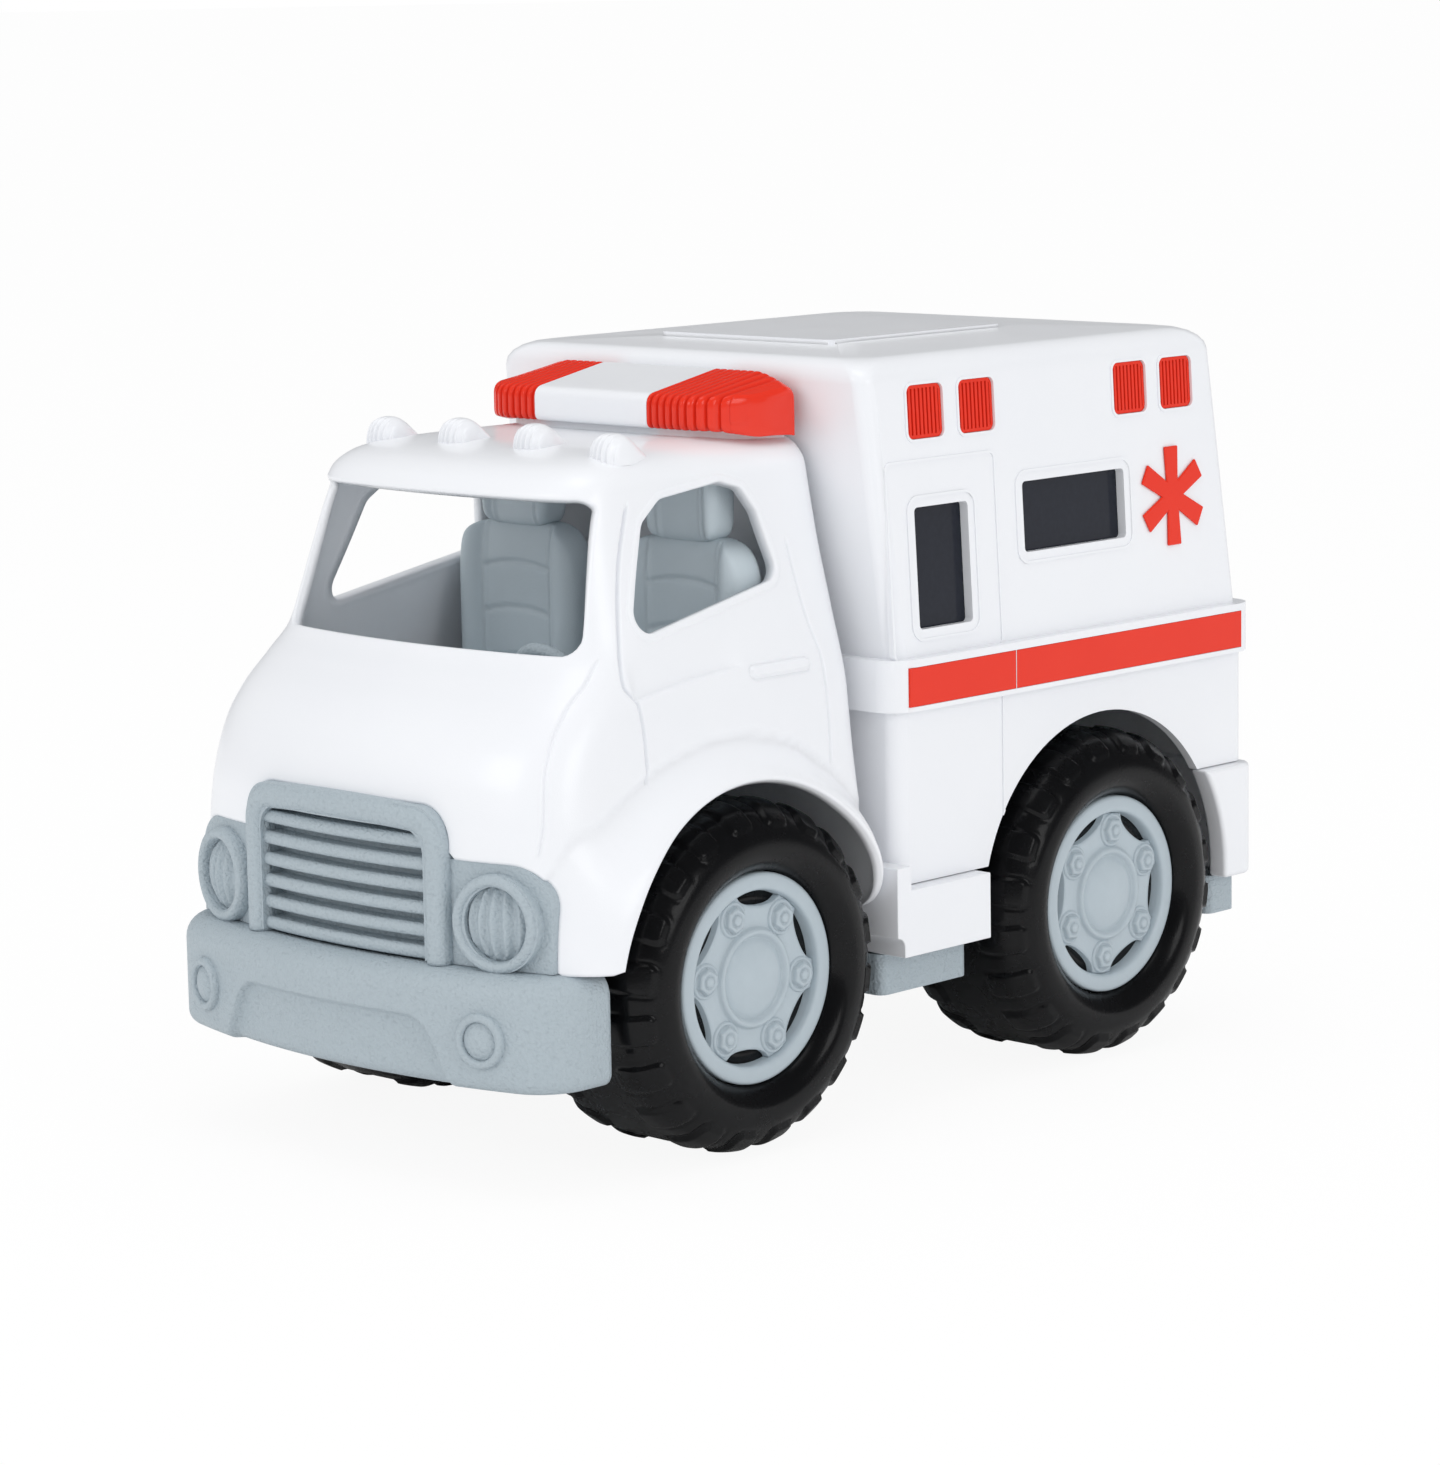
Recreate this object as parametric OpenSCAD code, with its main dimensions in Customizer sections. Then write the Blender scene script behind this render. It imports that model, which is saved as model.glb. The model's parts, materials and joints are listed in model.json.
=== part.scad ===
// Toy ambulance: a white cab and patient box on a grey chassis, with two wheel sets and two rear doors.
// X runs across (the vehicle's left is +X), Y runs along (the front is -Y) and Z is up.
// The origin lies on the ground under the middle of the toy.

/* [Overall] */
// Length over both bumpers
overall_len = 315; // [300:1:330]
// Width over the tyres
overall_w = 172; // [169:1:184]
// General wall of the moulded shells
wall = 3; // [2.4:0.2:3.6]

/* [Wheels] */
// Distance between the axles
wheelbase = 155; // [150:1:160]
// Distance from the front end to the front axle
front_overhang = 89; // [86:1:92]
// Radius of the tyres over the lugs
tyre_r = 50; // [47:1:52]
// Width of a tyre
tyre_w = 52; // [46:1:54]
// Radius of the hub's rim
rim_r = 30; // [27:1:33]
// Depth of the rim face inside the tyre's side
rim_inset = 4.4; // [3:0.2:6]
// Radius of the steel axles
axle_r = 3; // [2.5:0.1:3.5]
// Running clearance of the axles in their bearings
axle_fit = 0.08; // [0.04:0.02:0.1]
// Clearance between tyre and wheel arch
arch_gap = 5.5; // [4:0.5:7]
// Lugs around each tyre
lug_count = 20; // [16:1:24]
// Height of the tread lugs
lug_h = 1.2; // [0.8:0.1:1.6]
// Width of the grooves between lugs
groove_w = 3.2; // [2.4:0.2:4]

/* [Chassis] */
// Height of the belly above the ground
belly_z = 34; // [32:1:36]
// Depth of the chassis edge
chassis_h = 12; // [10:1:13]
// Width of the spine between the wheels
spine_w = 58; // [52:1:62]
// Width over the sills
sill_w = 150; // [144:1:154]
// Length of the sills between the wheels
sill_len = 38; // [34:1:40]

/* [Bumpers] */
// Width over the front bumper
bumper_w = 158; // [152:1:164]
// Height of the front bumper
bumper_h = 32; // [28:1:32]
// Length of the front bumper's wrapped ends
bumper_wrap = 34; // [30:1:35]
// Radius of the nose in plan
nose_bow_r = 245; // [220:5:300]
// Width over the rear bumper
rear_bumper_w = 164; // [158:1:168]
// Height of the rear bumper's top edge above its foot
rear_bumper_h = 35; // [30:1:36]
// Width over the side steps
step_w = 168; // [162:1:170]

/* [Box] */
// Length of the box over its belt
box_len = 167.5; // [164:0.5:170]
// Width of the box over its belt
belt_w = 164.4; // [160:0.4:168]
// How far the belt stands out of the walls
belt_d = 3.7; // [2.5:0.1:4.5]
// Height of the belt's lower edge
belt_z = 116.5; // [114:0.5:119]
// Height of the belt band
belt_h = 15; // [13:0.5:17]
// Height of the roof edge
roof_z = 217; // [213:1:222]
// How far each side wall leans in up to the roof
side_lean = 4.6; // [3:0.2:6]
// How far the end walls rake forward up to the roof
end_rake = 8.4; // [6:0.2:10]
// Opening angle that the drawing shows for the rear doors
door_turn = 0; // [0:5:100]

/* [Cab] */
// Length of the cab from its back to the nose
cab_len = 136; // [134:1:138]
// Width over the front fenders without their flares
cab_w = 158; // [154:1:162]
// Height of the cab roof
cab_top_z = 196; // [192:1:200]
// Height of the windscreen's sill
sill_z = 143.6; // [140:0.4:147]
// Height of the windscreen opening
screen_h = 41; // [37:1:43]
// Width of the windscreen opening at its sill
screen_w = 117.6; // [110:0.4:120]
// Height of the light bar over the cab roof
bar_h = 17.4; // [14:0.2:18]
// Width over the light bar
bar_w = 100; // [92:1:104]

/* [Hidden] */
// One overrun serves all cuts
over = 1;
// Clearance between seated pieces and the finer one inside a fit
seat_gap = 0.3;
fit_gap = 0.1;
// Roundness of true circles and of the coarser rounds in lofted shells
$fn = 64;
loft_fn = 20;

white = [0.94, 0.95, 0.97];
grey = [0.70, 0.75, 0.78];
seat_grey = [0.52, 0.55, 0.58];
red = [0.86, 0.16, 0.12];
glass = [0.13, 0.15, 0.20];
black = [0.07, 0.07, 0.08];
hub_grey = [0.66, 0.71, 0.73];
steel = [0.72, 0.73, 0.75];

// Ends, axles and planes that the pieces share
front_y = -overall_len / 2;
rear_y = overall_len / 2;
// Lengths along the toy and widths of the cab are drawn for these sizes and follow the real ones
drawn_len = 315;
drawn_box_len = 167.5;
drawn_cab_w = 158;
drawn_wheel_gap = 55;
stretch = overall_len / drawn_len;
spread = cab_w / drawn_cab_w;
box_run = box_len * stretch;
cab_run = (cab_len + drawn_box_len - box_len) * stretch;
front_axle_y = front_y + front_overhang * stretch;
rear_axle_y = front_axle_y + wheelbase * stretch;
sill_run = sill_len * (wheelbase * stretch - 2 * tyre_r) / drawn_wheel_gap;
axle_z = tyre_r;
tyre_out = overall_w / 2;
tyre_in = tyre_out - tyre_w;
arch_r = tyre_r + arch_gap;
chassis_top = belly_z + chassis_h;
belt_front = rear_y - box_run;
belt_half = belt_w / 2;
belt_top = belt_z + belt_h;
wall_half = belt_half - belt_d;
wall_front = belt_front + belt_d;
low_rear = rear_y - belt_d / 3;
high_rear = rear_y - belt_d - seat_gap;
lean_h = roof_z - belt_top;
lean_angle = atan(side_lean / lean_h);
rake_angle = atan(end_rake / lean_h);
floor_z = tyre_r + arch_r + 2 * seat_gap;
cab_back = wall_front - end_rake * (cab_top_z - belt_top) / lean_h - seat_gap;
cab_nose = cab_back - cab_run;

// Plain helpers: a rounded rectangle drawn from true arcs, and turns that lay a drawing on a side or a
// front
module round_rect(w, h, r) {
    square([w - 2 * r, h], center = true);
    square([w, h - 2 * r], center = true);
    for (sx = [-1, 1]) for (sy = [-1, 1])
        translate([sx * (w / 2 - r), sy * (h / 2 - r)]) circle(r);
}
// The drawing's x runs along Y and its y runs up; it is drawn out along +X
module on_side(d) { rotate([90, 0, 90]) linear_extrude(d) children(); }
// The drawing's x runs along X and its y runs up; it is drawn out towards the front
module on_front(d) { rotate([90, 0, 0]) linear_extrude(d) children(); }
// A round bar along X from x0 to x1
module bar_x(r, x0, x1) { translate([x0, 0, 0]) rotate([0, 90, 0]) cylinder(r = r, h = x1 - x0); }
// Both sides of the toy
module both() { for (m = [0, 1]) mirror([m, 0, 0]) children(); }

// A closed skin over stacked rings of the same number of points
function skin_faces(rings, per) = concat(
    [[for (i = [0 : per - 1]) i]],
    [for (k = [0 : rings - 2]) for (i = [0 : per - 1])
        [k * per + i, (k + 1) * per + i, (k + 1) * per + (i + 1) % per, k * per + (i + 1) % per]],
    [[for (i = [per - 1 : -1 : 0]) (rings - 1) * per + i]]
);
module skin(rings) {
    per = len(rings[0]);
    polyhedron([for (r = rings) for (p = r) p], skin_faces(len(rings), per), convexity = 6);
}

// Chassis sizes: floor under the pockets, bearing towers, cross beams and screws
chassis_floor = 4;
tower_len = 20;
tower_top = axle_z + axle_r + 2 * wall;
slot_half = axle_r + axle_fit;
beam_inset = 10;
keeper_len = 34;
keeper_w = 30;
keeper_h = 3.4;
screw_r = 1.4;
screw_len = 9;
screw_head_r = 2.8;
screw_head_h = 1.8;
post_r = 5;
post_x = 14;
sill_mid = (front_axle_y + rear_axle_y) / 2;
front_post_ys = [front_axle_y - tower_len * 1.3, front_axle_y + tower_len * 1.3];
rear_post_ys = [rear_axle_y - tower_len * 2, rear_axle_y + tower_len * 2];
post_ys = concat(front_post_ys, rear_post_ys);
keeper_screw_x = 10;
keeper_screw_y = slot_half + screw_head_r + wall / 2;
beam_front = front_y + bumper_wrap / 2;
rear_sill_len = rear_y - wall / 2 - rear_axle_y - arch_r;

module spine_pocket(y0, y1) {
    translate([-spine_w / 2 + wall, y0, belly_z + chassis_floor])
        cube([spine_w - 2 * wall, y1 - y0, chassis_h]);
}

module chassis() color(grey) difference() {
    union() {
        translate([-spine_w / 2, beam_front, belly_z])
            cube([spine_w, rear_y - beam_inset - beam_front, chassis_h]);
        translate([0, sill_mid, belly_z]) linear_extrude(chassis_h) round_rect(sill_w, sill_run, wall);
        translate([0, rear_y - wall / 2 - rear_sill_len / 2, belly_z]) linear_extrude(chassis_h)
            round_rect(sill_w, rear_sill_len, min(wall, rear_sill_len / 4));
        translate([-bumper_w / 3, beam_front, belly_z])
            cube([bumper_w * 2 / 3, bumper_wrap / 3, chassis_h]);
        for (y = [front_axle_y, rear_axle_y])
            translate([-spine_w / 2, y - tower_len / 2, belly_z])
                cube([spine_w, tower_len, tower_top - belly_z]);
    }
    // Pockets between the towers, open at the top
    spine_pocket(beam_front + wall, front_axle_y - tower_len / 2 - wall);
    spine_pocket(front_axle_y + tower_len / 2 + wall, rear_axle_y - tower_len / 2 - wall);
    spine_pocket(rear_axle_y + tower_len / 2 + wall, rear_y - beam_inset - wall);
    // Bearing slots from below, and the shallow seats of their keepers with pilot bores
    for (y = [front_axle_y, rear_axle_y]) {
        translate([0, y, axle_z]) bar_x(slot_half, -spine_w, spine_w);
        translate([-spine_w, y - slot_half, belly_z - over])
            cube([2 * spine_w, 2 * slot_half, axle_z - belly_z + over]);
        translate([-keeper_len / 2 - fit_gap, y - keeper_w / 2 - fit_gap, belly_z - over])
            cube([keeper_len + 2 * fit_gap, keeper_w + 2 * fit_gap, keeper_h + fit_gap + over]);
        for (s = [-1, 1]) for (t = [-1, 1])
            translate([s * keeper_screw_x, y + t * keeper_screw_y, belly_z])
                cylinder(r = screw_r + axle_fit, h = screw_len + wall);
    }
    // Countersunk screw holes under the posts
    for (y = post_ys) for (s = [-1, 1]) translate([s * post_x, y, belly_z - over]) {
        cylinder(r = screw_r + fit_gap, h = chassis_h);
        cylinder(r = screw_head_r + fit_gap, h = screw_head_h + over);
    }
}

// A keeper closes the bearing slot from below
module axle_keeper(y) color(grey) difference() {
    union() {
        translate([-keeper_len / 2, y - keeper_w / 2, belly_z]) cube([keeper_len, keeper_w, keeper_h]);
        translate([-keeper_len / 2, y - slot_half + fit_gap, belly_z])
            cube([keeper_len, 2 * (slot_half - fit_gap), axle_z - belly_z - fit_gap]);
    }
    translate([0, y, axle_z]) bar_x(slot_half, -keeper_len, keeper_len);
    for (s = [-1, 1]) for (t = [-1, 1])
        translate([s * keeper_screw_x, y + t * keeper_screw_y, belly_z - over]) {
            cylinder(r = screw_r + fit_gap, h = keeper_h + 2 * over);
            cylinder(r = screw_head_r + fit_gap, h = screw_head_h + over);
        }
}

module screw() {
    cylinder(r = screw_head_r, h = screw_head_h);
    cylinder(r = screw_r, h = screw_len);
}
module chassis_screws() color(steel) {
    for (y = post_ys) for (s = [-1, 1]) translate([s * post_x, y, belly_z]) screw();
    for (y = [front_axle_y, rear_axle_y]) for (s = [-1, 1]) for (t = [-1, 1])
        translate([s * keeper_screw_x, y + t * keeper_screw_y, belly_z]) screw();
}
// A post stands on the chassis floor and takes a screw from below
module posts(ys, top) {
    for (y = ys) for (s = [-1, 1]) translate([s * post_x, y, belly_z + chassis_floor]) difference() {
        cylinder(r = post_r, h = top - belly_z - chassis_floor);
        translate([0, 0, -over]) cylinder(r = screw_r + axle_fit, h = screw_len + over);
    }
}

// Front bumper, bowed in plan with wrapped ends
bumper_drop = 5;
bumper_z = belly_z - bumper_drop;
bumper_top = bumper_z + bumper_h;
bumper_wall = 6;
bumper_corner_r = 18;
shelf_d = 14;
shelf_t = 3;
fog_x = 57;
fog_z = bumper_z + bumper_h * 0.45;
fog_ring_r = 7.6;
fog_lens_r = 5.4;
fog_proud = 1.6;
recess_w = 96;
recess_h = 18;
recess_d = 2.2;
// How far the bowed nose falls back at x, and how far it has turned there
function nose_sag(x) = nose_bow_r - sqrt(nose_bow_r * nose_bow_r - x * x);
function nose_turn(x) = asin(x / nose_bow_r);

// The bowed front and its corner arcs, which run into the bow and into the sides without a kink;
// a larger inset gives the inner face
corner_run = bumper_w / 2 - bumper_corner_r;
corner_y = front_y + nose_bow_r - sqrt(pow(nose_bow_r - bumper_corner_r, 2) - corner_run * corner_run);
corner_turn = asin(corner_run / (nose_bow_r - bumper_corner_r));
corner_steps = 10;
bow_steps = 24;
function bumper_corner(inset, side) = [for (i = [0 : corner_steps]) let(
    t = corner_turn + (90 - corner_turn) * i / corner_steps,
    r = bumper_corner_r - inset
) [side * (corner_run + r * sin(t)), corner_y - r * cos(t)]];
function bumper_bow(inset) = [for (i = [1 : bow_steps - 1]) let(
    t = corner_turn * (2 * i / bow_steps - 1),
    r = nose_bow_r - inset
) [r * sin(t), front_y + nose_bow_r - r * cos(t)]];
function turned_round(list) = [for (i = [len(list) - 1 : -1 : 0]) list[i]];
module bumper_plan(inset) {
    back = front_y + bumper_wrap + inset;
    polygon(concat([[inset - bumper_w / 2, back]], turned_round(bumper_corner(inset, -1)),
        bumper_bow(inset), bumper_corner(inset, 1), [[bumper_w / 2 - inset, back]]));
}
// A turned seat on the nose at x and z, with its axis out of the surface
module on_nose(x, z, y) {
    translate([x, y + nose_sag(x), z]) rotate([90, 0, nose_turn(x)]) children();
}

module front_bumper() color(grey) difference() {
    union() {
        translate([0, 0, bumper_z]) linear_extrude(bumper_h) difference() {
            bumper_plan(0);
            bumper_plan(bumper_wall);
        }
        // The top runs back under the grille panel
        translate([0, 0, bumper_top - shelf_t]) linear_extrude(shelf_t) difference() {
            bumper_plan(0);
            bumper_plan(shelf_d);
        }
        for (s = [-1, 1]) on_nose(s * fog_x, fog_z, front_y + bumper_wall / 2) difference() {
            cylinder(r = fog_ring_r, h = bumper_wall / 2 + fog_proud);
            translate([0, 0, bumper_wall / 2 - over]) cylinder(r = fog_lens_r + fit_gap, h = bumper_wall);
        }
    }
    // Shallow plate recess with sloped sides at the lower middle, at one depth behind the bow
    intersection() {
        translate([0, 0, bumper_z - over]) linear_extrude(recess_h + 2 * over) difference() {
            bumper_plan(-over);
            bumper_plan(recess_d);
        }
        translate([0, front_y + bumper_wrap, bumper_z]) on_front(2 * bumper_wrap)
            polygon([[-recess_w / 2, -over], [recess_w / 2, -over],
                [recess_w / 2 - recess_h / 2, recess_h], [recess_h / 2 - recess_w / 2, recess_h]]);
    }
    for (s = [-1, 1]) on_nose(s * fog_x, fog_z, front_y + bumper_wall / 2)
        translate([0, 0, bumper_wall / 2 - over]) cylinder(r = fog_lens_r + fit_gap, h = bumper_wall);
}

// A domed lens: a cap of a sphere over a short plug
module domed_lens(r, plug, dome) {
    ball = (r * r + dome * dome) / (2 * dome);
    cylinder(r = r, h = plug);
    intersection() {
        translate([0, 0, plug + dome - ball]) sphere(ball);
        cylinder(r = r, h = plug + dome);
    }
}
module fog_lamp_lenses() color(grey) for (s = [-1, 1])
    on_nose(s * fog_x, fog_z, front_y + bumper_wall / 2)
        translate([0, 0, bumper_wall / 2 - over + fit_gap]) domed_lens(fog_lens_r, over, fog_proud * 1.4);

// Grille panel: bowed wings with the headlights, and an arched frame round the slats
panel_sink = 0.44;
panel_front = cab_nose + panel_sink;
panel_t = 8;
panel_bot = bumper_top + seat_gap;
drawn_wing_w = 144;
wing_w = drawn_wing_w * spread;
wing_h = 29;
wing_top = panel_bot + wing_h;
wing_r = 12;
drawn_frame_w = 81;
frame_w = drawn_frame_w * spread;
frame_h = 43;
frame_top = panel_bot + frame_h;
frame_r = 10;
frame_bar = 7;
frame_proud = 2.6;
frame_top_bar = 6.4;
slat_count = 6;
slat_foot = 0.8;
slat_t = 3.2;
slat_back = 3;
drawn_lamp_x = 56;
lamp_x = drawn_lamp_x * spread;
lamp_up = 12.8;
lamp_z = panel_bot + lamp_up;
lamp_ring_r = 13.2;
lamp_lens_r = 10.3;
lamp_proud = 2.6;

// The outline of the panel, seen from the front; grow widens it for its seat in the cab
module panel_outline(grow) {
    translate([0, (wing_top + panel_bot) / 2])
        round_rect(wing_w + 2 * grow, wing_top - panel_bot + 2 * grow, wing_r + grow);
    translate([-wing_w / 2 - grow, panel_bot - grow]) square([wing_w + 2 * grow, wing_r]);
    frame_outline(grow);
}
module frame_outline(grow) {
    translate([0, (frame_top + panel_bot) / 2])
        round_rect(frame_w + 2 * grow, frame_top - panel_bot + 2 * grow, frame_r + grow);
}
// The opening runs down to the bumper
module frame_opening() {
    h = frame_h - frame_top_bar + frame_r;
    translate([0, panel_bot - frame_r + h / 2]) round_rect(frame_w - 2 * frame_bar, h, frame_r - wall);
}
// A bowed sheet between two depths behind the panel's front
module bowed(d0, d1) {
    linear_extrude(2 * frame_top) intersection() {
        difference() {
            translate([0, panel_front + nose_bow_r]) circle(nose_bow_r - d0, $fn = 256);
            translate([0, panel_front + nose_bow_r]) circle(nose_bow_r - d1, $fn = 256);
        }
        translate([-wing_w, panel_front - panel_t]) square([2 * wing_w, bumper_wrap + panel_t]);
    }
}
module panel_cut(d0, d1) {
    intersection() {
        bowed(d0, d1);
        translate([0, overall_len, 0]) on_front(2 * overall_len) children();
    }
}
module grille_panel() color(grey) difference() {
    union() {
        panel_cut(0, panel_t) panel_outline(0);
        panel_cut(-frame_proud, panel_t) difference() {
            frame_outline(0);
            frame_opening();
        }
        for (s = [-1, 1]) on_nose(s * lamp_x, lamp_z, panel_front + panel_t / 2)
            cylinder(r = lamp_ring_r, h = panel_t / 2 + lamp_proud);
    }
    // The grille's throat, cut between the slats down to a back sheet
    panel_cut(-over, panel_t - slat_back) difference() {
        frame_opening();
        for (k = [0 : slat_count - 1])
            translate([-frame_w / 2, slat_z(k)]) square([frame_w, slat_t]);
    }
    for (s = [-1, 1]) on_nose(s * lamp_x, lamp_z, panel_front + panel_t / 2)
        translate([0, 0, wall / 2]) cylinder(r = lamp_lens_r + fit_gap, h = panel_t);
}
slat_pitch = (frame_h - frame_top_bar) / slat_count;
function slat_z(k) = panel_bot + slat_foot + slat_pitch * k;

module headlight_lenses() color(grey) for (s = [-1, 1])
    on_nose(s * lamp_x, lamp_z, panel_front + panel_t / 2)
        translate([0, 0, wall / 2 + fit_gap])
            domed_lens(lamp_lens_r, panel_t / 2 - wall / 4, lamp_proud * 1.2);

// Cab loft: rings stacked from the fenders to the roof, each a squared oval with a bowed front.
// The shares give each ring's height, half width and distance of its front from the cab's back.
cab_bot = bumper_top + 2 * seat_gap;
cab_h = cab_top_z - cab_bot;
cab_z_shares = [0, .09, .18, .27, .35, .42, .485, .55, .605, .665, .77, .90, .94, .97, .989, 1];
cab_w_shares = [.99, .99, .98, .955, .935, .92, .905, .875, .845, .815, .765, .715, .70, .66, .595, .48];
cab_nose_shares = [.997, 1, 1, .998, .985, .96, .915, .852, .803, .785, .765, .738, .72, .684, .625, .53];
cab_points = 72;
cab_inner_points = 40;
front_square = 8;
back_square = 14;
corner_pull = 7;
flare_d = 7.5;
flare_band = 17;

// The fender flare swells by flare_d at the arch and fades out over flare_band
function flare(y, z) = let(
    gap = norm([y - front_axle_y, z - axle_z]) - arch_r,
    t = max(0, min(1, 1 - gap / flare_band))
) flare_d * t * t * (3 - 2 * t);
// One point of a ring: a squared oval at angle a, with the nose bow added on the front half
function cab_point(a, z, half, nose, back) = let(
    t = a + corner_pull * sin(4 * a),
    p = sin(t) < 0 ? front_square : back_square,
    q = pow(pow(abs(cos(t)), p) + pow(abs(sin(t)), p), -1 / p),
    x = half * q * cos(t),
    y = (nose + back) / 2 + (back - nose) / 2 * q * sin(t) + (sin(t) < 0 ? nose_sag(x) * -sin(t) : 0)
) [x + sign(x) * flare(y, z), y, z];
// The whole stack, drawn in by inset on every side and at the top
function cab_rings(inset, points, drop) = [for (k = [0 : len(cab_z_shares) - 1]) let(
    z = cab_bot + (cab_h - inset) * cab_z_shares[k] - (k == 0 ? drop : 0),
    half = cab_w / 2 * cab_w_shares[k] - inset,
    back = cab_back - inset,
    nose = cab_back - cab_run * cab_nose_shares[k] + inset
) [for (i = [0 : points - 1]) cab_point(360 * i / points, z, half, nose, back)]];

// Cab details: window outlines, seams, roof lights and the door's handle
drawn_screen_top_w = 108.8;
screen_top_w = drawn_screen_top_w * spread;
screen_r = 4;
side_window_shares = [[.254, .745], [.32, .862], [.504, .824], [.594, .679]];
side_window_r = 5;
seam_d = 0.7;
seam_w = 1;
seam_top_z = 178;
door_front = cab_back - cab_run * .68;
door_rear = cab_back - cab_run * .145;
roof_light_shares = [.195, .578];
roof_light_xs = [for (s = roof_light_shares) s * cab_w / 2];
roof_light_y = cab_back - cab_run * .53;
roof_light_r = 4.4;
roof_light_tail = 14;
handle_len = 21;
handle_h = 3.4;

module rounded_prism_y(points, r, y0, y1) {
    hull() for (p = points) translate([p[0], y0, p[1]]) rotate([-90, 0, 0])
        cylinder(r = r, h = y1 - y0, $fn = loft_fn);
}
module screen_opening() {
    bot = screen_w * spread / 2 - screen_r;
    top = screen_top_w / 2 - screen_r;
    rounded_prism_y([[-bot, sill_z + screen_r], [bot, sill_z + screen_r],
        [top, sill_z + screen_h - screen_r], [-top, sill_z + screen_h - screen_r]],
        screen_r, cab_nose, cab_back - cab_run * .6);
}
// Side window corners as shares of the cab's length from its back and of its height
function side_corner(s) = [cab_back - cab_run * s[0], cab_bot + cab_h * s[1]];
module side_opening() {
    hull() for (c = side_window_shares) let(p = side_corner(c))
        translate([-cab_w, p[0], p[1]]) rotate([0, 90, 0])
            cylinder(r = side_window_r, h = 2 * cab_w, $fn = loft_fn);
}
// The closed line of the door seams, seen from the side
module door_seam_outline(grow) {
    polygon([[door_front - grow, belt_z - grow], [door_rear + grow, belt_z - grow],
        [door_rear + grow, seam_top_z + grow], [door_front + cab_run * .1 - grow, seam_top_z + grow],
        [door_front - grow, sill_z + grow]]);
}
module door_seams() {
    translate([-cab_w, 0, 0]) on_side(2 * cab_w) difference() {
        door_seam_outline(seam_w / 2);
        door_seam_outline(-seam_w / 2);
    }
}
// A ribbed lamp on the roof with a tail that fairs it backwards
module roof_light() {
    hull() {
        sphere(roof_light_r, $fn = loft_fn);
        translate([0, roof_light_tail, -roof_light_r / 2]) sphere(roof_light_r / 2, $fn = loft_fn);
    }
}
module cab_shell() color(white) difference() {
    union() {
        difference() {
            skin(cab_rings(0, cab_points, 0));
            door_seams();
        }
        skin(cab_rings(seam_d, cab_points, 0));
        for (x = roof_light_xs) both() translate([x, roof_light_y, cab_top_z - roof_light_r / 3])
            roof_light();
        both() door_handle();
    }
    skin(cab_rings(wall, cab_inner_points, over));
    screen_opening();
    side_opening();
    panel_front_seat();
    both() translate([0, front_axle_y, axle_z]) bar_x(arch_r, tyre_in - over, cab_w);
}
// Room for the grille panel through the nose
module panel_front_seat() {
    translate([0, cab_nose + bumper_wrap * .8, 0]) on_front(bumper_wrap * 2) panel_outline(seat_gap);
}
module door_handle() {
    y = door_rear - handle_len * .8;
    z = sill_z - 3 * handle_h;
    half = cab_w / 2 * lookup((z - cab_bot) / cab_h,
        [for (k = [0 : len(cab_z_shares) - 1]) [cab_z_shares[k], cab_w_shares[k]]]);
    hull() for (t = [0, 1]) translate([half - handle_h * .3, y - t * handle_len * .8, z])
        sphere(handle_h / 2, $fn = loft_fn);
}

// Cab interior: floor tray, dash and two seats
drawn_tray_w = 126;
tray_w = drawn_tray_w * spread;
tray_front = cab_back - cab_run * .76;
tray_gap = 1.6;
tray_back = cab_back - wall - tray_gap;
dash_top = sill_z - 2 * wall;
dash_d = 14;
drawn_dash_w = 104;
dash_w = drawn_dash_w * spread;
drawn_seat_x = 34;
seat_x = drawn_seat_x * spread;
drawn_seat_w = 48;
seat_w = drawn_seat_w * spread;
seat_back_t = 9;
seat_back_h = 58;
seat_r = 8;
seat_set = 32;
seat_front = cab_back - seat_set;
bolster_w = 9;
bolster_d = 4.5;
cushion_len = 40;
cushion_h = 18;
rest_w = 27;
rest_h = 21;
rest_r = 5;
pad_count = 3;
pad_gap = 1.4;
pad_d = 1.6;

module seat() {
    back_mid = floor_z + wall + seat_back_h / 2;
    pad_h = (seat_back_h - cushion_h - seat_r) / pad_count;
    inner_w = seat_w - 2 * bolster_w;
    translate([0, seat_front + seat_back_t, 0]) {
        translate([0, 0, back_mid]) on_front(seat_back_t) round_rect(seat_w, seat_back_h, seat_r);
        for (s = [-1, 1]) translate([s * (seat_w - bolster_w) / 2, 0, back_mid])
            on_front(seat_back_t + bolster_d)
                round_rect(bolster_w, seat_back_h - seat_r, bolster_w / 2 - seat_gap);
        for (k = [0 : pad_count - 1])
            translate([0, 0, floor_z + wall + cushion_h + pad_h * (k + .5)])
                on_front(seat_back_t + pad_d) round_rect(inner_w, pad_h - pad_gap, pad_gap);
        // Headrest on its neck
        translate([0, -seat_back_t / 4, back_mid + seat_back_h / 2 + rest_h / 2])
            on_front(seat_back_t) round_rect(rest_w, rest_h, rest_r);
        translate([-rest_w / 4, -seat_back_t * .7, back_mid])
            cube([rest_w / 2, seat_back_t / 2, seat_back_h / 2 + rest_h / 2]);
    }
    // Cushion with raised sides
    translate([0, seat_front - cushion_len / 2 + wall, floor_z + wall / 2]) {
        linear_extrude(cushion_h - bolster_d + wall / 2)
            round_rect(seat_w, cushion_len + 2 * wall, seat_r / 2);
        for (s = [-1, 1]) translate([s * (seat_w - bolster_w) / 2, 0, 0])
            linear_extrude(cushion_h + wall / 2)
                round_rect(bolster_w, cushion_len, bolster_w / 2 - seat_gap);
    }
}
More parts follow.
